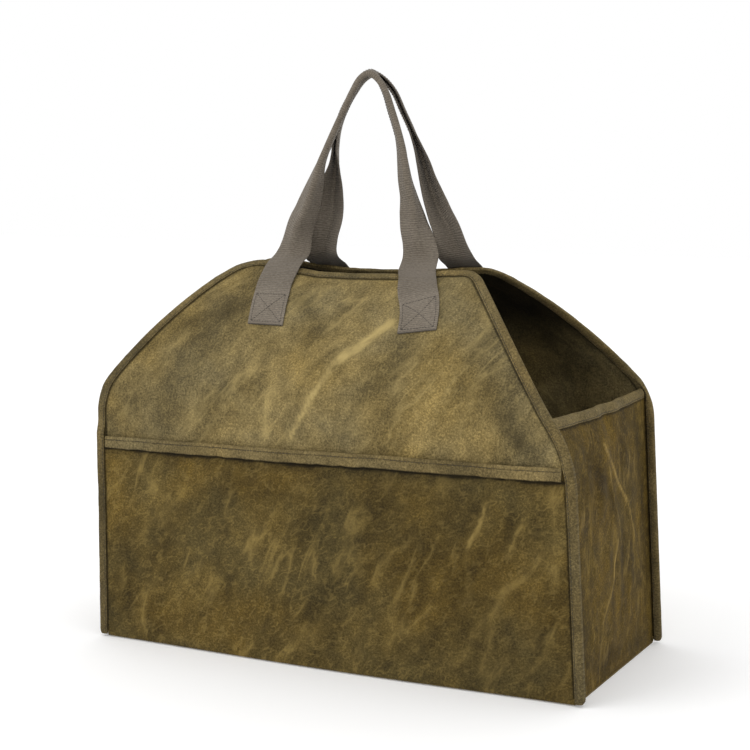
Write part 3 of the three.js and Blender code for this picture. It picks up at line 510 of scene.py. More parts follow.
# Materials
class Shade:
    """Nodes of one material. An input is a value or the output of another node."""

    def __init__(self, name):
        self.material = bpy.data.materials.new(name)
        self.material.use_nodes = True
        self.tree = self.material.node_tree
        self.shader = self.tree.nodes["Principled BSDF"]

    def feed(self, made, inputs):
        for key, value in inputs.items():
            if hasattr(value, "node"):
                self.tree.links.new(value, made.inputs[key])
            else:
                made.inputs[key].default_value = value

    def add(self, kind, inputs, **settings):
        made = self.tree.nodes.new("ShaderNode" + kind)
        for key, value in settings.items():
            setattr(made, key, value)
        self.feed(made, inputs)
        return made

    def maths(self, operation, first, second=0.0):
        return self.add("Math", {0: first, 1: second}, operation=operation).outputs[0]

    def times(self, *values):
        made = values[0]
        for value in values[1:]:
            made = self.maths("MULTIPLY", made, value)
        return made

    def plus(self, first, second):
        return self.maths("ADD", first, second)

    def rest(self, share):
        return self.maths("SUBTRACT", 1.0, share)

    def mix(self, factor, first, second):
        first, second = (c if hasattr(c, "node") else (*c, 1.0) for c in (first, second))
        return self.add("Mix", {0: factor, 6: first, 7: second}, data_type="RGBA").outputs[2]

    def tinted(self, colour, value):
        made = self.add("VectorMath", {0: colour}, operation="SCALE")
        self.feed(made, {"Scale": value})
        return made.outputs["Vector"]

    def noise(self, vector, scale, detail=4.0, rough=0.55, distortion=0.0):
        return self.add("TexNoise", {"Vector": vector, "Scale": scale, "Detail": detail,
                                     "Roughness": rough, "Distortion": distortion}).outputs["Fac"]

    def waves(self, vector, direction, scale, distortion, detail):
        return self.add("TexWave", {"Vector": vector, "Scale": scale, "Distortion": distortion,
                                    "Detail": detail}, bands_direction=direction).outputs["Fac"]

    def placed(self, vector, scale=(1, 1, 1), move=(0, 0, 0)):
        return self.add("Mapping", {"Vector": vector, "Scale": scale, "Location": move}).outputs[0]

    def drawn_out(self, vector, turn, stretch):
        """Coordinates whose features are stretched along a direction."""
        return self.add("Mapping", {"Vector": vector, "Rotation": (0, 0, turn),
                                    "Scale": (stretch, 1, 1)}, vector_type="TEXTURE").outputs[0]

    def attribute(self, name):
        return self.add("Attribute", {}, attribute_name=name).outputs["Fac"]

    def flat(self):
        return self.add("UVMap", {}, uv_map="flat").outputs["UV"]

    def graded(self, value, stops):
        """Value passed through a ramp of (place, level) stops; levels over one are allowed."""
        most = max(level for _, level in stops)
        made = self.add("ValToRGB", {"Fac": value})
        while len(made.color_ramp.elements) < len(stops):
            made.color_ramp.elements.new(0.5)
        for element, (place, level) in zip(made.color_ramp.elements, stops):
            element.position = place
            element.color = (level / most, level / most, level / most, 1.0)
        return self.times(made.outputs["Color"], most)

    def lines(self, value, half, end):
        """Thin lines where a noise passes its middle, from their half level to their end."""
        away = self.maths("ABSOLUTE", self.maths("SUBTRACT", value, 0.5))
        return self.graded(away, [(0.0, 1.0), (half, 0.5), (end, 0.0)])

    def bump(self, height, strength, distance, below=None):
        inputs = {"Height": height, "Strength": strength, "Distance": distance}
        if below is not None:
            inputs["Normal"] = below
        return self.add("Bump", inputs).outputs["Normal"]


def canvas_material(name, cool, warm, pulled, move, turn, streaks=1.0):
    """Waxed canvas: clouds, mottling, fibre marks, pulled-up crease lines, grain, weave."""
    s = Shade(name)
    flat = s.placed(s.flat(), move=move)

    clouds = s.noise(flat, 9.0, 3.0, 0.5, 0.3)
    broad = s.noise(s.drawn_out(flat, turn, 2.2), 19.0, 3.0, 0.55, 0.3)
    mottle = s.noise(s.drawn_out(flat, turn, 1.5), 62.0, 4.0, 0.62, 0.3)
    grain = s.noise(flat, 430.0, 2.0, 0.7)
    fleck = s.noise(flat, 900.0, 1.0, 0.6)
    level = s.times(s.graded(broad, [(0.34, 0.7), (0.5, 1.0), (0.66, 1.25)]),
                    s.graded(mottle, [(0.3, 0.72), (0.5, 0.97), (0.7, 1.3)]),
                    s.graded(grain, [(0.32, 0.62), (0.5, 0.97), (0.68, 1.5)]),
                    s.graded(fleck, [(0.3, 0.8), (0.5, 1.0), (0.72, 1.25)]))

    veins = s.lines(s.noise(s.drawn_out(flat, turn + 0.12, 4.5), 34.0, 3.0, 0.5, 0.35), 0.02, 0.06)
    patch = s.graded(s.noise(flat, 16.0, 2.0, 0.5), [(0.48, 0.0), (0.62, 1.0)])
    veins = s.times(veins, patch)
    fibres = s.lines(s.noise(s.drawn_out(flat, turn - 0.5, 2.0), 150.0, 1.0, 0.5, 0.3),
                     0.035, 0.08)
    breaks = s.graded(s.noise(flat, 85.0, 1.0, 0.5), [(0.46, 0.0), (0.56, 1.0)])
    fibres = s.times(fibres, breaks)
    ragged = s.graded(mottle, [(0.3, 0.25), (0.6, 1.0)])
    crease = s.graded(s.attribute("crease"), [(0.0, 0.0), (0.4, 0.16), (0.75, 1.0)])
    crease = s.times(crease, ragged)

    colour = s.mix(s.graded(clouds, [(0.36, 0.0), (0.64, 1.0)]), cool, warm)
    colour = s.tinted(colour, level)
    colour = s.mix(s.times(veins, 0.4 * streaks), colour, pulled)
    colour = s.mix(s.times(fibres, 0.26 * streaks), colour, tuple(0.95 * c for c in pulled))
    colour = s.mix(s.times(crease, 0.95), colour, pulled)
    # Painted shade darkens the colour: in dents and folds, along the tape edges, under the pocket hem,
    # in the end panels' corners, and on the inner faces. A seam mark below zero lightens it.
    for mark, depth in (("dent", 0.55), ("seam", 0.8), ("inside", 1.0)):
        colour = s.tinted(colour, s.rest(s.times(s.attribute(mark), depth)))

    weave = s.plus(s.waves(flat, "X", 260.0, 1.2, 1.0), s.waves(flat, "Y", 230.0, 1.2, 1.0))
    fine = s.bump(s.plus(weave, s.times(grain, 1.6)), 0.55, 0.0004)
    relief = s.plus(s.times(crease, 0.6), s.times(veins, 0.25))
    s.feed(s.shader, {
        "Base Color": colour,
        "Roughness": s.graded(mottle, [(0.3, 0.68), (0.7, 0.86)]),
        "Specular IOR Level": 0.1,
        "Normal": s.bump(s.plus(relief, s.times(mottle, 0.7)), 0.6, 0.0022, fine)})
    return s.material


def webbing_material(name, dark, light):
    """Ribbed webbing: ribs across the strap, speckled yarn, painted shade on the inner face, painted
    highlight at the sewn ends.
    """
    s = Shade(name)
    flat = s.flat()
    ribs = s.waves(flat, "Y", 125.0, 0.6, 2.0)
    yarn = s.noise(s.placed(flat, (0.5, 1.0, 1.0)), 620.0, 2.0, 0.7)
    tone = s.graded(s.noise(flat, 30.0, 3.0, 0.6), [(0.3, 0.0), (0.7, 1.0)])
    # Painted shade on the inner face; the seam mark lightens the sewn ends as a painted highlight and
    # darkens the very ends.
    level = s.times(s.graded(ribs, [(0.0, 0.8), (0.6, 1.06)]),
                    s.graded(yarn, [(0.3, 0.72), (0.7, 1.28)]),
                    s.rest(s.times(s.attribute("inside"), 0.08)),
                    s.rest(s.times(s.attribute("seam"), 0.6)))
    s.feed(s.shader, {
        "Base Color": s.tinted(s.mix(tone, dark, light), level),
        "Roughness": 0.85,
        "Specular IOR Level": 0.2,
        "Sheen Weight": 0.1,
        "Normal": s.bump(s.plus(ribs, s.times(yarn, 0.5)), 0.7, 0.0007)})
    return s.material


def plain_material(name, colour, roughness, glow=0.0):
    s = Shade(name)
    s.feed(s.shader, {"Base Color": (*colour, 1.0), "Roughness": roughness,
                      "Emission Color": (1.0, 1.0, 1.0, 1.0), "Emission Strength": glow})
    return s.material


CREASE_TURN = 1.0
canvas_body = canvas_material("canvas_body", (0.182, 0.143, 0.066), (0.226, 0.162, 0.056),
                              (0.46, 0.35, 0.14), (0.3, 0.1, 0.0), -CREASE_TURN)
# The pocket and end panels use darker copies of the body canvas: on the end panels the darkness is
# painted shade, on the pocket it is partly painted shade and partly the cloth's own darker tone.
canvas_pocket = canvas_material("canvas_pocket", (0.090, 0.066, 0.022), (0.118, 0.077, 0.018),
                                (0.36, 0.255, 0.08), (1.7, 0.6, 0.0), CREASE_TURN)
canvas_end = canvas_material("canvas_end", (0.072, 0.048, 0.011), (0.096, 0.059, 0.009),
                             (0.32, 0.215, 0.06), (2.9, 1.3, 0.0), 1.3, 0.9)
edge_tape = canvas_material("edge_tape", (0.138, 0.108, 0.050), (0.160, 0.116, 0.045),
                            (0.24, 0.18, 0.08), (4.1, 2.2, 0.0), 1.2, 0.4)
webbing = webbing_material("webbing", (0.146, 0.122, 0.093), (0.178, 0.150, 0.117))
thread_dark = plain_material("thread_dark", (0.035, 0.026, 0.012), 0.7)
thread_grey = plain_material("thread_grey", (0.060, 0.051, 0.042), 0.7)


# Columns of a panel row: closer together near the edges
def spread_columns(left, right, count):
    near = np.array([0, 1.5, 4, 6.5, 8, 8.9, 9.7, 10.7, 12, 14.5, 18, 23])
    inner = np.linspace(0, 1, count)[1:-1]
    share = (right - left)[:, None]
    middle = left[:, None] + 23 + (share - 46) * inner[None, :]
    return np.concatenate([left[:, None] + near[None, :], middle,
                           right[:, None] - near[None, ::-1]], 1)


def seam_shade(side, x, v):
    """Painted shade: a dark line in the cloth along the tape's edge."""
    left, right = panel_edges(side, np.maximum(v, 0))
    step = 1.0
    left_up, right_up = panel_edges(side, np.maximum(v, 0) + step)
    slant_left = np.sqrt(1 + ((left_up - left) / step) ** 2)
    slant_right = np.sqrt(1 + ((right_up - right) / step) ** 2)
    rim = np.minimum((x - left) / slant_left, (right - x) / slant_right)
    rim = np.minimum(rim, PROFILE[side]["total"] - v)
    return np.exp(-((rim - BINDING_WIDTH + 0.7) / 1.3) ** 2) * (v > 0)


def panel_rows(side, v):
    left, right = panel_edges(side, np.maximum(v, 2))
    foot = v < 1.0
    left = np.where(foot, -HALF_LENGTH, left)
    right = np.where(foot, HALF_LENGTH, right)
    x = spread_columns(left, right, 120)
    return x, np.repeat(v[:, None], x.shape[1], 1)


# Front, base and back in one sheet
def body_sheet():
    flat_length = HALF_DEPTH - BOTTOM_BEND
    halves = []
    for side in (-1, 1):
        total = PROFILE[side]["total"]
        wall = np.concatenate([np.linspace(2, total - 24, 104),
                               total - np.array([20, 17, 14, 12, 10.7, 9.7, 8.9, 8, 6.5, 4, 1.5,
                                                 0.5, 0])])
        arc = -BOTTOM_ARC * np.linspace(1, 0, 9)
        base = -BOTTOM_ARC - flat_length * np.linspace(0.999, 0.02, 16)
        v = np.concatenate([base, arc, wall])
        x, vv = panel_rows(side, v)
        place = -side * x
        # Marks: painted shade along the tape edges, wax crease lines, painted shade in dents and folds,
        # and painted shade on the inner face, darker towards the top where the panels close in.
        halves.append([grid[::side] for grid in (
            panel_offset(side, x, vv, CLOTH / 2), panel_offset(side, x, vv, -CLOTH / 2),
            np.stack([x, side * (vv + 200)], -1), seam_shade(side, x, vv),
            line_marks(FRONT_CREASES, place, vv, BODY_LENGTH, total, 101),
            line_marks(FRONT_DENT_SHADE, place, vv, BODY_LENGTH, total, 111),
            0.3 + 0.62 * smooth(total - 180, total - 70, vv))])
    joined = [np.concatenate([front, back[1:]]) for front, back in zip(*halves)]
    return grid_sheet("canvas_body_sheet", *joined[:3], canvas_body,
                      dict(zip(("seam", "crease", "dent", "inside"), joined[3:])))


def pocket_rise(x):
    return 1 + POCKET_TILT * x / (HALF_LENGTH * POCKET_HEIGHT)


def pocket_distance(x, v):
    z = BOTTOM_Z + v / pocket_rise(x)
    share = np.minimum(1, np.abs(x) / (HALF_LENGTH - BINDING_WIDTH))
    near = smooth(POCKET_HEIGHT - 5 * POCKET_HEM, POCKET_HEIGHT - 1.6 * POCKET_HEM, z)
    mouth = POCKET_MOUTH * (1 - share * share) * near
    pucker = 0.55 * soft_noise(x, z * 0.25, 22.0, 5) * np.exp(
        -((POCKET_HEIGHT - POCKET_HEM - z) / 14.0) ** 2) * (share < 0.97)
    return LAYER_STEP + (BINDING_WALL + SEAT_GAP) * near + mouth + np.maximum(pucker, -0.3) * near


POCKET_TOP = POCKET_HEIGHT - BOTTOM_Z - BINDING_WALL - SEAT_GAP


def pocket_panel():
    half = CLOTH / 2
    v = np.concatenate([-BOTTOM_ARC * np.array([0.42, 0.3, 0.15, 0.0]),
                        np.linspace(2, POCKET_TOP - 34, 44),
                        np.linspace(POCKET_TOP - 32, POCKET_TOP, 22)])
    x, vv = panel_rows(-1, v)
    rise = np.where(vv > 0, vv * pocket_rise(x), vv)
    distance = pocket_distance(x, rise)
    # Painted shadow under the pocket hem, with a wavy edge, over the painted shade along the tape
    # edges. The inner face takes half the painted inside shade.
    wave = 1.3 * soft_noise(x, x * 0, 34.0, 61)
    below = POCKET_TOP - POCKET_HEM + 1.4 - vv
    under = np.exp(-(below / (2.4 + wave)) ** 2) + 0.4 * np.exp(-(below / 9.0) ** 2)
    shade = np.maximum(seam_shade(-1, x, rise), np.minimum(1.1, 1.1 * under) * (vv < POCKET_TOP))
    return grid_sheet("canvas_pocket_panel", panel_offset(-1, x, rise, distance + half),
                      panel_offset(-1, x, rise, distance - half), np.stack([x, vv], -1),
                      canvas_pocket,
                      {"seam": shade,
                       "inside": 0.5 + 0 * x,
                       "crease": line_marks(POCKET_CREASES, x, vv, BODY_LENGTH, POCKET_TOP, 121),
                       "dent": line_marks(POCKET_DENT_SHADE, x, vv, BODY_LENGTH, POCKET_TOP, 131)})


TAPE_DROP = 5.0
TAPE_TUCK = 3.0

# Section of a folded tape: share of its width from the panel edge inwards, height in tape walls
TAPE_GROOVE = 0.215
TAPE_OUTER = [(0.0, -0.05), (0.03, 0.55), (0.09, 0.95), (0.17, 0.92), (TAPE_GROOVE, 0.72), (0.26, 0.95),
              (0.4, 1.25), (0.6, 1.35), (0.8, 1.25), (0.93, 1.05), (1.0, 0.85)]


def tape_rings(place, depth, outer_face, inner_face, inner_depth):
    """Rings of a soft folded tape, and how much painted shade each of its points carries: dark along
    the edges where it meets the cloth and in its stitch groove.
    """
    wall = BINDING_WALL
    rings, dark, cross = [], [], []
    for share, height in TAPE_OUTER:
        rings.append(place(depth * (1 - share), outer_face + SEAT_GAP * 0.6 + wall * height))
        dark.append(0.95 if share < 0.02 else 0.75 if share < 0.05 else 0.45
                    if share == TAPE_GROOVE else 0.0)
        cross.append(depth * (1 - share))
    middle = (outer_face + inner_face) / 2
    reach = (outer_face - inner_face) / 2 + SEAT_GAP + wall * 0.85
    for angle in (30, 60, 90, 120, 150):
        a = math.radians(angle)
        rings.append(place(-(SEAT_GAP + wall) * math.sin(a), middle + reach * math.cos(a)))
        dark.append(0.0)
        cross.append(-angle / 60)
    for share, height in TAPE_OUTER[::-1]:
        rings.append(place(inner_depth * (1 - share),
                           inner_face - SEAT_GAP * 0.6 - wall * height))
        dark.append(0.95 if share < 0.02 else 0.0)
        cross.append(-3 - inner_depth * (1 - share))
    rings.append(place(inner_depth, inner_face - SEAT_GAP * 0.6))
    dark.append(1.0)
    cross.append(-20.0)
    rings.append(place(0.0 * inner_depth, inner_face - SEAT_GAP * 0.6))
    dark.append(0.0)
    cross.append(-24.0)
    rings.append(place(0.0 * depth, outer_face + SEAT_GAP * 0.6))
    dark.append(0.0)
    cross.append(-26.0)
    return rings, dark, cross


def edge_path(side):
    """Flat path of a panel's edge, from one foot over the top to the other foot."""
    rows = OUTLINE[side]
    path = [(rows[0][1], rows[0][0] - TAPE_DROP)] + [(row[1], row[0]) for row in rows]
    path += [(x, rows[-1][0]) for x in np.linspace(rows[-1][1], rows[-1][2], 40)[1:-1]]
    path += [(row[2], row[0]) for row in rows[::-1]]
    return path + [(rows[0][2], rows[0][0] - TAPE_DROP)]


def edge_offset(side, x, v, offset):
    """Point over a panel; below its first row it goes straight down."""
    low = np.minimum(0, v - OUTLINE[side][0, 0])
    point = panel_offset(side, x, v - low, offset)
    point[..., 2] += low
    return point


def edge_frames(side, step=2.4):
    path, at = spaced(edge_path(side), step)
    before = np.concatenate([path[:1], path[:-1]])
    after = np.concatenate([path[1:], path[-1:]])
    direction = after - before
    direction /= np.linalg.norm(direction, axis=1)[:, None]
    inward = np.stack([direction[:, 1], -direction[:, 0]], -1)
    inward[0] = (1, 0)
    inward[-1] = (-1, 0)
    x, v = path[:, 0], path[:, 1]
    past = (v - (GUSSET_HEIGHT - BOTTOM_Z)) / BINDING_WIDTH
    seam = 1 - smooth(0.1, 2.6, past)
    outer = np.full(len(x), CLOTH / 2)
    if side < 0:
        mouth = (POCKET_HEIGHT - BOTTOM_Z) * pocket_rise(x)
        over = 1 - smooth(mouth + BINDING_WALL, mouth + POCKET_HEM * 1.3, v)
        outer = outer + over * pocket_distance(
            np.sign(x) * HALF_LENGTH, np.minimum(v, mouth - BINDING_WALL))
    inner = -CLOTH / 2 - LAYER_STEP * seam
    end = np.sign(x)
    z = np.minimum(GUSSET_HEIGHT, BOTTOM_Z + v)
    y = np.full(len(x), side * HALF_DEPTH)
    plane = np.where(end < 0, -gusset_plane(-1, y, z), gusset_plane(1, y, z))
    room = end * x - plane - GUSSET_BEND - SEAT_GAP - 0.1
    short = np.clip(room / np.maximum(0.3, np.abs(inward[:, 0])), 1.5, SEAM_REACH)
    inner_depth = SEAM_REACH + (short - SEAM_REACH) * seam
    t = np.clip((OUTLINE[side][0, 0] - v) / (TAPE_DROP + 0.5), 0, 1)
    tuck = TAPE_TUCK * (1 - np.sqrt(1 - t * t))
    path[:, 0] -= end * tuck
    squeeze = 1 - tuck / SEAM_REACH
    return path, at, inward * squeeze[:, None], outer, inner, inner_depth


def edge_binding(side, name):
    path, at, inward, outer, inner, inner_depth = edge_frames(side)
    wave = 0.18 * soft_noise(at, at * 0, 26.0, 31 + side) + 0.1 * soft_noise(at, at * 0, 9.0, 37)

    def place(depth, offset):
        point = path + inward * np.broadcast_to(depth, at.shape)[:, None]
        lift = wave * np.clip(np.sign(offset), -1, 1)
        return edge_offset(side, point[:, 0], point[:, 1], offset + lift)

    section = tape_rings(place, SEAM_REACH, outer, inner, inner_depth)
    # Painted shade: the tape is darker on its lower, upright runs, below about 190 to 330 mm up the
    # panel.
    return sweep(name, section, at, 0.34 * (1 - smooth(190, 330, path[:, 1])))


def pocket_binding():
    reach = BINDING_WIDTH + SEAT_GAP + 0.3
    left, right = panel_edges(-1, POCKET_TOP)
    x = np.linspace(left + reach, right - reach, 190)
    wave = 0.25 * soft_noise(x, x * 0, 30.0, 51) + 0.12 * soft_noise(x, x * 0, 9.0, 52)
    depth = POCKET_HEM - BINDING_WALL - SEAT_GAP
    end = 0.35 * soft_noise(x, x * 0, 16.0, 53)

    def place(d, offset):
        d = np.broadcast_to(d, x.shape)
        drop = end * (d / depth)
        v = (POCKET_TOP - d + drop) * pocket_rise(x)
        return panel_offset(-1, x, v, pocket_distance(x, v) + offset + wave * (offset > 0))

    rings, dark, cross = [], [], []
    # Share, height and painted shade of each point: shade along the lower edge of the hem and in its
    # stitch groove.
    for share, height, shade in [
            (0.0, -0.05, 1.0), (0.02, 0.6, 0.95), (0.06, 1.2, 0.5), (0.12, 1.5, 0.0),
            (0.3, 1.55, 0.0), (0.5, 1.5, 0.0), (0.66, 1.3, 0.0), (0.75, 1.05, 0.15),
            (0.785, 0.75, 0.8), (0.82, 1.05, 0.15), (0.88, 1.4, 0.0), (0.95, 1.35, 0.0),
            (1.0, 1.0, 0.0)]:
        rings.append(place(depth * (1 - share), CLOTH / 2 + 0.2 + BINDING_WALL * height))
        dark.append(shade)
        cross.append(depth * (1 - share))
    for angle in (30, 60, 90, 120, 150):
        a = math.radians(angle)
        rings.append(place(-(SEAT_GAP + BINDING_WALL) * math.sin(a),
                           (CLOTH / 2 + 1.2) * math.cos(a)))
        dark.append(0.0)
        cross.append(-angle / 60)
    for d, offset in [(0.0, -CLOTH / 2 - 1.15), (depth, -CLOTH / 2 - 1.15),
                      (depth, -CLOTH / 2 - 0.2), (0.0, -CLOTH / 2 - 0.2), (0.0, CLOTH / 2 + 0.2)]:
        rings.append(place(d, offset))
        dark.append(0.0)
        cross.append(-5 - d)
    return sweep("tape_pocket_hem", (rings, dark, cross), x, paler=0.12)


# End panels
def gusset_push(y, z, end):
    share = np.minimum(1, np.abs(y) / (HALF_DEPTH - LAYER_STEP - GUSSET_BEND))
    crown = (1 - share * share) ** 2
    lift = z / GUSSET_HEIGHT
    push = GUSSET_BELLY * crown * np.sin(math.pi * np.minimum(1, 0.15 + 0.75 * lift))
    for along, wide, low, amount in GUSSET_FOLDS:
        across = (y - along * BODY_DEPTH) / (wide * BODY_DEPTH)
        fade = smooth(low, low + 0.3, lift) * (1 - smooth(0.8, 0.95, lift))
        push = push + FOLD_DEPTH * 0.5 * amount * crown * fade * np.exp(-across * across)
    push = push + crown * 1.3 * soft_noise(y * 1.6, z * 0.6, 60.0, 71 + end)
    push = push + np.sqrt(crown) * 1.7 * line_marks(
        END_CREASES, end * y + HALF_DEPTH, z, BODY_DEPTH, GUSSET_HEIGHT, 141)
    push = push - np.sqrt(crown) * 1.8 * line_marks(
        END_DENTS_AND_SHADE, end * y + HALF_DEPTH, z, BODY_DEPTH, GUSSET_HEIGHT, 151)
    return push * smooth(0.02, 0.2, lift)


def gusset_point(end, out, y, z, nx, ny, offset):
    base = end * gusset_plane(end, y, z)
    on_wall = nx < -0.999
    push = np.where(on_wall, gusset_push(y, z, end), 0)
    edge = end * np.where(y < 0, cut_edge(-1, end, z - BOTTOM_Z), cut_edge(1, end, z - BOTTOM_Z))
    reach = np.where(out > 0, np.minimum(out, edge - base), 0.0)
    x = base + reach + push + nx * -offset
    return np.stack([end * x, y - ny * offset, z], -1)


def gusset_stations():
    wall_count = 70
    flange = HALF_DEPTH - LAYER_STEP
    bend = GUSSET_BEND
    rows = [(out, -flange, 0.0, 1.0) for out in (SEAM_REACH, bend + 3.5, bend + 0.5)]
    for a in np.linspace(0, math.pi / 2, 6):
        rows.append((bend * (1 - math.sin(a)), -(flange - bend + bend * math.cos(a)),
                     -math.sin(a), math.cos(a)))
    wall = flange - bend
    mirrored = [(out, -y, nx, -ny) for out, y, nx, ny in rows][::-1]
    middle = [(0.0, y, -1.0, 0.0) for y in np.linspace(-wall, wall, wall_count)[1:-1]]
    return np.array(rows + middle + mirrored)


def gusset_top(y):
    share = np.minimum(1, np.abs(y) / HALF_DEPTH)
    return GUSSET_HEIGHT - BINDING_WALL - SEAT_GAP - GUSSET_DIP * (1 - share * share)


def gusset_foot(y):
    low = CLOTH + SEAT_GAP
    high = BOTTOM_Z + 1.5
    return low + (high - low) * smooth(HALF_DEPTH - 1.2 * BINDING_WIDTH,
                                        HALF_DEPTH - 0.7 * BINDING_WIDTH, np.abs(y))


def gusset_sheet(end, name):
    stations = gusset_stations()
    share = np.concatenate([np.linspace(0, 0.93, 66), np.linspace(0.94, 1, 14)])
    foot = gusset_foot(stations[:, 1])
    top = gusset_top(stations[:, 1])
    z = foot[None, :] + (top - foot)[None, :] * share[:, None]
    out, y, nx, ny = (np.repeat(stations[:, k][None, :], len(share), 0) for k in range(4))
    along = np.concatenate([[0], np.cumsum(np.hypot(np.diff(stations[:, 0]),
                                                    np.diff(stations[:, 1])))])
    flat = np.stack([np.repeat(along[None, :], len(share), 0), z], -1)
    # Painted shade: a dark line under the top tape, and in the corners where the end panel meets the
    # front and back. The inner face takes painted inside shade.
    below = top[None, :] - z
    shade = 0.8 * np.exp(-((below - BINDING_WIDTH + 0.6) / 1.4) ** 2)
    corner = np.minimum(np.abs(y + HALF_DEPTH - LAYER_STEP), np.abs(y - HALF_DEPTH + LAYER_STEP))
    shade = np.maximum(shade, 0.75 * np.exp(-(corner / 2.2) ** 2))
    return grid_sheet(name, gusset_point(end, out, y, z, nx, ny, CLOTH / 2),
                      gusset_point(end, out, y, z, nx, ny, -CLOTH / 2), flat, canvas_end,
                      {"seam": shade, "inside": 0.4 + 0 * z,
                       "crease": line_marks(END_CREASES, end * y + HALF_DEPTH, z, BODY_DEPTH,
                                            GUSSET_HEIGHT, 141),
                       "dent": line_marks(END_DENTS_AND_SHADE, end * y + HALF_DEPTH, z, BODY_DEPTH,
                                          GUSSET_HEIGHT, 151)})


def gusset_binding(end, name):
    limit = HALF_DEPTH - LAYER_STEP - GUSSET_BEND - SEAT_GAP * 3
    y = np.linspace(-limit, limit, 84)
    top = gusset_top(y)
    wave = 0.2 * soft_noise(y, y * 0, 24.0, 81 + end)

    def place(depth, offset):
        depth = np.broadcast_to(depth, y.shape)
        lift = offset + wave * np.sign(offset) * (np.abs(offset) > CLOTH / 2 + 0.3)
        return gusset_point(end, 0.0 * y, y, top - depth, -1.0 + 0 * y, 0 * y, lift)

    face = np.full(len(y), CLOTH / 2)
    return sweep(name, tape_rings(place, SEAM_REACH, face, -face, SEAM_REACH), y)


# Straps
def spline(points, step):
    """Points along a smooth line through the given rows, with the distance along it."""
    points = np.asarray(points, float)
    place = points[:, :3]
    gaps = np.linalg.norm(np.diff(place, axis=0), axis=1)
    knots = np.concatenate([[0], np.cumsum(np.sqrt(np.maximum(gaps, 1e-6)))])
    padded_p = np.vstack([2 * points[0] - points[1], points, 2 * points[-1] - points[-2]])
    padded_k = np.concatenate([[knots[0] - (knots[1] - knots[0])], knots,
                               [knots[-1] + (knots[-1] - knots[-2])]])
    fine = []
    for i in range(1, len(points)):
        p0, p1, p2, p3 = padded_p[i - 1:i + 3]
        k0, k1, k2, k3 = padded_k[i - 1:i + 3]
        for t in np.linspace(k1, k2, 24, endpoint=False):
            a1 = (k1 - t) / (k1 - k0) * p0 + (t - k0) / (k1 - k0) * p1
            a2 = (k2 - t) / (k2 - k1) * p1 + (t - k1) / (k2 - k1) * p2
            a3 = (k3 - t) / (k3 - k2) * p2 + (t - k2) / (k3 - k2) * p3
            b1 = (k2 - t) / (k2 - k0) * a1 + (t - k0) / (k2 - k0) * a2
            b2 = (k3 - t) / (k3 - k1) * a2 + (t - k1) / (k3 - k1) * a3
            fine.append((k2 - t) / (k2 - k1) * b1 + (t - k1) / (k2 - k1) * b2)
    fine.append(points[-1])
    fine = np.array(fine)
    length = np.concatenate([[0], np.cumsum(np.linalg.norm(np.diff(fine[:, :3], axis=0),
                                                           axis=1))])
    at = np.linspace(0, length[-1], int(round(length[-1] / step)) + 1)
    return np.stack([np.interp(at, length, fine[:, k]) for k in range(fine.shape[1])], -1), at


def rolling(values, reach):
    """Values averaged over their neighbours, so many on each side."""
    ends = [(reach, reach)] + [(0, 0)] * (values.ndim - 1)
    padded = np.pad(values, ends, mode="edge")
    count = 2 * reach + 1
    return sum(padded[k:k + len(values)] for k in range(count)) / count


def strap_rows(side):
    rows = STRAP_ROWS[side]
    centre, spread = STRAP_CENTRE[side], STRAP_SPREAD[side]
    fold_width = STRAP_WIDTH / 2 + STRAP_FOLD_RADIUS - 2
    low = CLOTH / 2 + 1.3 * SEAT_GAP + STRAP_WALL / 2
    high = low + BINDING_WALL + 5 * SEAT_GAP

    def sewn(end):
        first = rows[0] if end < 0 else rows[-1]
        shift = STRAP_LEAN[side][0 if end < 0 else 1]
        bulge = STRAP_BOW[side][0 if end < 0 else 1]
        made = []
        for share in (0, 0.3, 0.55, 0.74, 0.84, 0.93, 1):
            v = PROFILE[side]["total"] - STRAP_OVERLAP * (1 - share) - 1
            x = centre + spread * first[0]
            x += STRAP_WIDTH * (1 - share) * (shift + 4 * bulge * share)
            offset = low + (high - low) * float(smooth(0.6, 0.8, share))
            point = panel_offset(side, x, v, offset)
            facing = panel_offset(side, x, v, offset - 1) - point
            made.append([*point, *facing, 0.0])
        return made

    free = [[centre + spread * place, fold_width * depth, TOP_HEIGHT + STRAP_RISE * height,
             side * math.sin(math.radians(turn)), -side * math.cos(math.radians(turn)), 0.0,
             fold] for place, depth, height, fold, turn in rows]
    return sewn(-1) + free + sewn(1)[::-1]


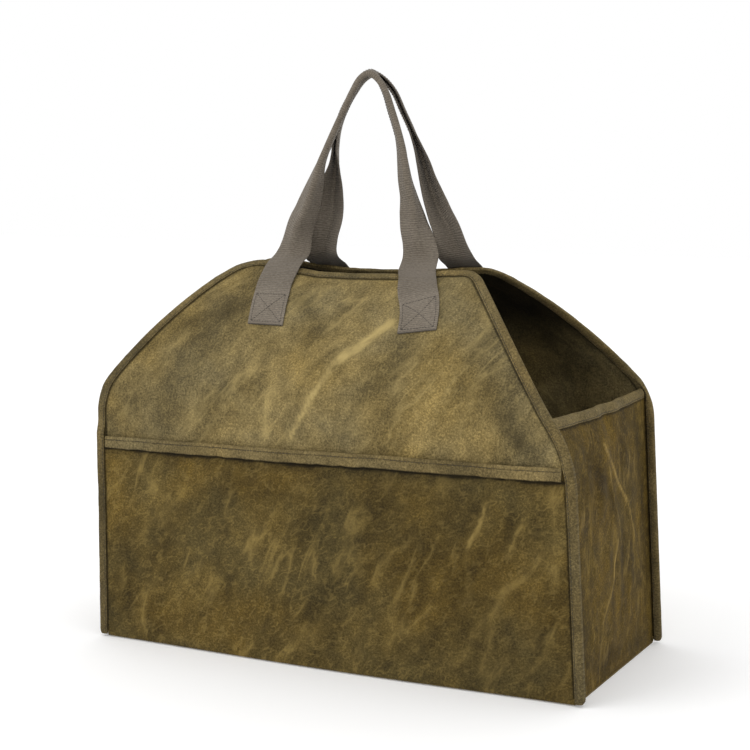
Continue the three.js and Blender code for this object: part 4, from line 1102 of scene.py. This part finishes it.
def strap_grid(side, step=3.0):
    """Rows of strap points, outer face and inner face, with their flat place."""
    line, at = spline(strap_rows(side), step)
    from_end = np.minimum(at, at[-1] - at)
    near = smooth(STITCH_BOX, STITCH_BOX + 30, from_end) * (
        1 - smooth(STRAP_OVERLAP + 30, STRAP_OVERLAP + 60, from_end))
    line[:, 0] += near * (rolling(line[:, 0], int(round(26.0 / step))) - line[:, 0])
    crossing = smooth(52, 80, from_end) * (1 - smooth(112, 150, from_end))
    drift = np.where(at < at[-1] / 2, STRAP_DRIFT[side][0], STRAP_DRIFT[side][1])
    line[:, 0] += drift * crossing
    point = line[:, :3]
    tangent = np.gradient(point, axis=0)
    tangent += near[:, None] * (rolling(tangent, int(round(33.0 / step))) - tangent)
    straight = np.where((side < 0) & (at < 100), 1.0, 0.85 * crossing)
    tangent[:, 0] *= 1 - straight
    tangent /= np.linalg.norm(tangent, axis=1)[:, None]
    inward = line[:, 3:6]
    inward = inward - tangent * np.sum(inward * tangent, 1)[:, None]
    inward /= np.linalg.norm(inward, axis=1)[:, None]
    across = np.cross(tangent, inward)
    limit = math.radians(STRAP_FOLD_LIMIT)
    angle = np.maximum(1e-4, np.clip(line[:, 6], 0, 1) * limit)
    bend_width = STRAP_FOLD_RADIUS * limit
    share = np.linspace(-1, 1, STRAP_COLUMNS)
    width = np.abs(share) * STRAP_WIDTH / 2
    sign = np.sign(share)
    bent = np.minimum(width, bend_width)
    turn = angle[:, None] * bent[None, :] / bend_width
    radius = (bend_width / angle)[:, None]
    beyond = (width - bent)[None, :]
    a = sign * (radius * np.sin(turn) + beyond * np.cos(turn))
    b = radius * (1 - np.cos(turn)) + beyond * np.sin(turn)
    na = sign * np.sin(turn)
    nb = -np.cos(turn)
    edge = np.clip((1 - np.abs(share)) / 0.05, 0, 1)
    half = STRAP_WALL / 2 * (0.55 + 0.45 * np.sqrt(edge))[None, :]

    def at_offset(sign_of_face):
        d = half * sign_of_face
        return (point[:, None, :] + (a + na * d)[..., None] * across[:, None, :]
                + (b + nb * d)[..., None] * inward[:, None, :])

    flat = np.stack(np.broadcast_arrays(share[None, :] * STRAP_WIDTH / 2, at[:, None]), -1)
    return at_offset(1), at_offset(-1), flat, line, at


def strap(side, name):
    outer, inner, flat, line, at = strap_grid(side)
    near = np.minimum(at, at[-1] - at)
    # Painted highlight on the sewn ends, where the seam mark goes below zero, and darker at the very
    # end of each strap.
    painted_highlight = -0.3 * (1 - smooth(STITCH_BOX + 3, STITCH_BOX + 22, near))
    edge = 0.5 * np.exp(-(near / 1.2) ** 2)
    shade = np.repeat((painted_highlight + edge)[:, None], outer.shape[1], 1)
    return grid_sheet(name, outer, inner, flat, webbing, {"seam": shade})


# Stitches: short flattened threads along a line that lies on a face
def stitch_mesh(name, runs, material, radius=0.38, length=3.0, gap=1.1):
    """One mesh of threads. Each run is a list of points and the outward direction at each."""
    points, faces = [], []
    ring = 6
    for run, outward in runs:
        run = np.asarray(run, float)
        outward = np.asarray(outward, float)
        total = np.concatenate([[0], np.cumsum(np.linalg.norm(np.diff(run, axis=0), axis=1))])
        count = int(total[-1] // (length + gap))
        if count < 1:
            continue
        pitch = total[-1] / count
        for i in range(count):
            start = i * pitch + gap / 2
            ats = start + np.array([0.0, 0.12, 0.5, 0.88, 1.0]) * (pitch - gap)
            middle = np.stack([np.interp(ats, total, run[:, k]) for k in range(3)], -1)
            up = np.stack([np.interp(ats, total, outward[:, k]) for k in range(3)], -1)
            up /= np.linalg.norm(up, axis=1)[:, None]
            along = middle[-1] - middle[0]
            along /= np.linalg.norm(along)
            side = np.cross(up, along)
            rise = np.array([-0.35, 0.15, 0.4, 0.15, -0.35]) * radius
            size = np.array([0.25, 0.8, 1.0, 0.8, 0.25]) * radius
            first = len(points)
            for k in range(5):
                for j in range(ring):
                    a = 2 * math.pi * j / ring
                    points.append(middle[k] + up[k] * (rise[k] + 0.8 * size[k] * math.sin(a))
                                  + side[k] * size[k] * 1.15 * math.cos(a))
            for k in range(4):
                for j in range(ring):
                    p = first + k * ring + j
                    q = first + k * ring + (j + 1) % ring
                    faces.append([p, q, q + ring, p + ring])
            faces.append([first + j for j in range(ring)][::-1])
            faces.append([first + 4 * ring + j for j in range(ring)])
    return new_object(name, points, faces, material, None, 80.0)


def surface_run(side, x, v, offset):
    low = panel_offset(side, x, v, offset)
    high = panel_offset(side, x, v, offset + np.sign(offset) * 1.0)
    return low, high - low


def edge_stitches(side, name):
    path, at, inward, outer, inner, inner_depth = edge_frames(side)
    depth = SEAM_REACH * (1 - TAPE_GROOVE)
    point = path + inward * depth
    keep = slice(1, -1)
    runs = [surface_run(side, point[keep, 0], point[keep, 1],
                        outer[keep] + SEAT_GAP * 0.6 + BINDING_WALL * 0.85)]
    back = path + inward * (inner_depth * (1 - TAPE_GROOVE))[:, None]
    runs.append(surface_run(side, back[keep, 0], back[keep, 1],
                            inner[keep] - SEAT_GAP * 0.6 - BINDING_WALL * 0.85))
    return stitch_mesh(name, runs, thread_dark, 0.34)


def pocket_stitches():
    reach = BINDING_WIDTH + SEAT_GAP + 0.3
    left, right = panel_edges(-1, POCKET_TOP)
    x = np.linspace(left + reach + 1, right - reach - 1, 190)
    depth = POCKET_HEM - BINDING_WALL - SEAT_GAP
    v = (POCKET_TOP - depth * TAPE_GROOVE) * pocket_rise(x)
    offset = pocket_distance(x, v) + CLOTH / 2 + 0.2 + BINDING_WALL * 0.9
    return stitch_mesh("stitches_pocket_hem", [surface_run(-1, x, v, offset)], thread_dark, 0.34)


def gusset_stitches(end, name):
    limit = HALF_DEPTH - LAYER_STEP - GUSSET_BEND - SEAT_GAP * 3 - 1
    y = np.linspace(-limit, limit, 84)
    z = gusset_top(y) - SEAM_REACH * (1 - TAPE_GROOVE)
    runs = []
    for face in (1, -1):
        offset = face * (CLOTH / 2 + SEAT_GAP * 0.6 + BINDING_WALL * 0.85)
        ones = np.ones_like(y)
        low = gusset_point(end, 0 * y, y, z, -ones, 0 * y, offset)
        high = gusset_point(end, 0 * y, y, z, -ones, 0 * y, offset + face)
        runs.append((low, high - low))
    return stitch_mesh(name, runs, thread_dark, 0.34)


def strap_stitches(side, name):
    """Box and cross on each sewn end, and the seam along the folded grip."""
    outer, inner, flat, line, at = strap_grid(side, 1.5)
    width = flat[0, :, 0]

    def on_face(u, w):
        u, w = np.broadcast_arrays(np.asarray(u, float), np.asarray(w, float))
        grid_u = np.clip(u / at[-1] * (len(at) - 1), 0, len(at) - 1.001)
        grid_w = np.clip((w - width[0]) / (width[-1] - width[0]) * (len(width) - 1), 0,
                         len(width) - 1.001)
        iu, iw = grid_u.astype(int), grid_w.astype(int)
        fu, fw = (grid_u - iu)[:, None], (grid_w - iw)[:, None]

        def sample(grid):
            return ((grid[iu, iw] * (1 - fw) + grid[iu, iw + 1] * fw) * (1 - fu)
                    + (grid[iu + 1, iw] * (1 - fw) + grid[iu + 1, iw + 1] * fw) * fu)

        top = sample(outer)
        normal = top - sample(inner)
        normal = normal / np.linalg.norm(normal, axis=1)[:, None]
        return top + normal * STITCH_LIFT, normal

    runs = []
    half = STRAP_WIDTH / 2 - STITCH_INSET
    for start, sign in ((0.0, 1), (at[-1], -1)):
        low = start + sign * STITCH_INSET
        high = low + sign * STITCH_BOX
        corners = [(low, -half), (low, half), (high, half), (high, -half), (low, -half)]
        for (u0, w0), (u1, w1) in list(zip(corners, corners[1:])) + [
                ((low, -half), (high, half)), ((low, half), (high, -half))]:
            runs.append(on_face(np.linspace(u0, u1, 30), np.linspace(w0, w1, 30)))
    folded = at[line[:, 6] > 0.985]
    u = np.linspace(folded[0] + 4, folded[-1] - 4, 220)
    for w in (STRAP_WIDTH / 2 - 4, 4 - STRAP_WIDTH / 2):
        runs.append(on_face(u, np.full(220, w)))
    return stitch_mesh(name, runs, thread_grey, 0.26, 2.4, 0.9)


# The pieces
pieces = {
    "body_sheet": body_sheet(),
    "pocket_panel": pocket_panel(),
    "pocket_binding": pocket_binding(),
    "gusset_left": gusset_sheet(-1, "canvas_gusset_left"),
    "gusset_right": gusset_sheet(1, "canvas_gusset_right"),
    "gusset_binding_left": gusset_binding(-1, "tape_gusset_left"),
    "gusset_binding_right": gusset_binding(1, "tape_gusset_right"),
    "edge_binding_front": edge_binding(-1, "tape_edge_front"),
    "edge_binding_back": edge_binding(1, "tape_edge_back"),
    "handle_front": strap(-1, "strap_front"),
    "handle_back": strap(1, "strap_back"),
}
SLOTS = {"body_sheet": "canvas_body", "pocket_panel": "canvas_pocket",
         "gusset_left": "canvas_end", "gusset_right": "canvas_end",
         "handle_front": "webbing", "handle_back": "webbing"}
for key, piece in pieces.items():
    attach(piece, "root")
    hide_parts(key)
    SLOTS.get(key, "edge_tape")

stitches = {
    "edge_binding_front": edge_stitches(-1, "stitches_edge_front"),
    "edge_binding_back": edge_stitches(1, "stitches_edge_back"),
    "pocket_binding": pocket_stitches(),
    "gusset_binding_left": gusset_stitches(-1, "stitches_gusset_left"),
    "gusset_binding_right": gusset_stitches(1, "stitches_gusset_right"),
    "handle_front": strap_stitches(-1, "stitches_strap_front"),
    "handle_back": strap_stitches(1, "stitches_strap_back"),
}
for piece in stitches.values():
    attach(piece, "root")


# Flat area of the cloth in square metres and the length of each strap, worked out but not used
def outline_area(side):
    rows = OUTLINE[side]
    width = rows[:, 2] - rows[:, 1]
    return float(np.sum((width[1:] + width[:-1]) / 2 * np.diff(rows[:, 0])))


base_area = 2 * HALF_LENGTH * 2 * (BOTTOM_ARC + HALF_DEPTH - BOTTOM_BEND)
(outline_area(-1) + outline_area(1) + base_area) * 1e-6
for side, key in ((-1, "handle_front"), (1, "handle_back")):
    strap_length = strap_grid(side)[4][-1]


# Floor, light and camera
def add_floor():
    mesh = bpy.data.meshes.new("floor")
    size = 6.0
    mesh.from_pydata([(-size, -size, 0), (size, -size, 0), (size, size, 0), (-size, size, 0)], [],
                     [(0, 1, 2, 3)])
    floor = bpy.data.objects.new("floor", mesh)
    floor.location.z = -0.0004
    mesh.materials.append(plain_material("floor", (0.95, 0.95, 0.95), 0.9, 0.12))
    bpy.context.scene.collection.objects.link(floor)


def add_light(name, place, target, size, power, colour=(1, 1, 1)):
    data = bpy.data.lights.new(name, "AREA")
    data.shape = "RECTANGLE"
    data.size, data.size_y = size
    data.energy = power
    data.color = colour
    light = bpy.data.objects.new(name, data)
    light.location = place
    light.rotation_euler = (Vector(target) - Vector(place)).to_track_quat("-Z", "Y").to_euler()
    bpy.context.scene.collection.objects.link(light)


add_floor()
add_light("key", (-1.2, -1.7, 2.4), (0, 0, 0.25), (1.6, 1.2), 16)
world = bpy.data.worlds.new("studio")
world.use_nodes = True
background = world.node_tree.nodes["Background"]
background.inputs["Color"].default_value = (1.0, 1.0, 1.0, 1.0)
background.inputs["Strength"].default_value = 1.0
bpy.context.scene.world = world
bpy.context.scene.view_settings.view_transform = "Standard"

AZIMUTH, ELEVATION, DISTANCE = math.radians(26.5), math.radians(7.9), 2.016
TARGET = Vector((-0.005, -0.002, 0.306))
FOCAL_PIXELS, PHOTO_WIDTH, SENSOR_WIDTH = 1789, 750, 36.0
back = Vector((math.sin(AZIMUTH) * math.cos(ELEVATION),
               -math.cos(AZIMUTH) * math.cos(ELEVATION), math.sin(ELEVATION)))
camera_data = bpy.data.cameras.new("camera")
camera_data.sensor_width = SENSOR_WIDTH
camera_data.lens = FOCAL_PIXELS / PHOTO_WIDTH * SENSOR_WIDTH
camera = bpy.data.objects.new("camera", camera_data)
camera.location = TARGET + back * DISTANCE
camera.rotation_euler = (-back).to_track_quat("-Z", "Y").to_euler()
bpy.context.scene.collection.objects.link(camera)
bpy.context.scene.camera = camera
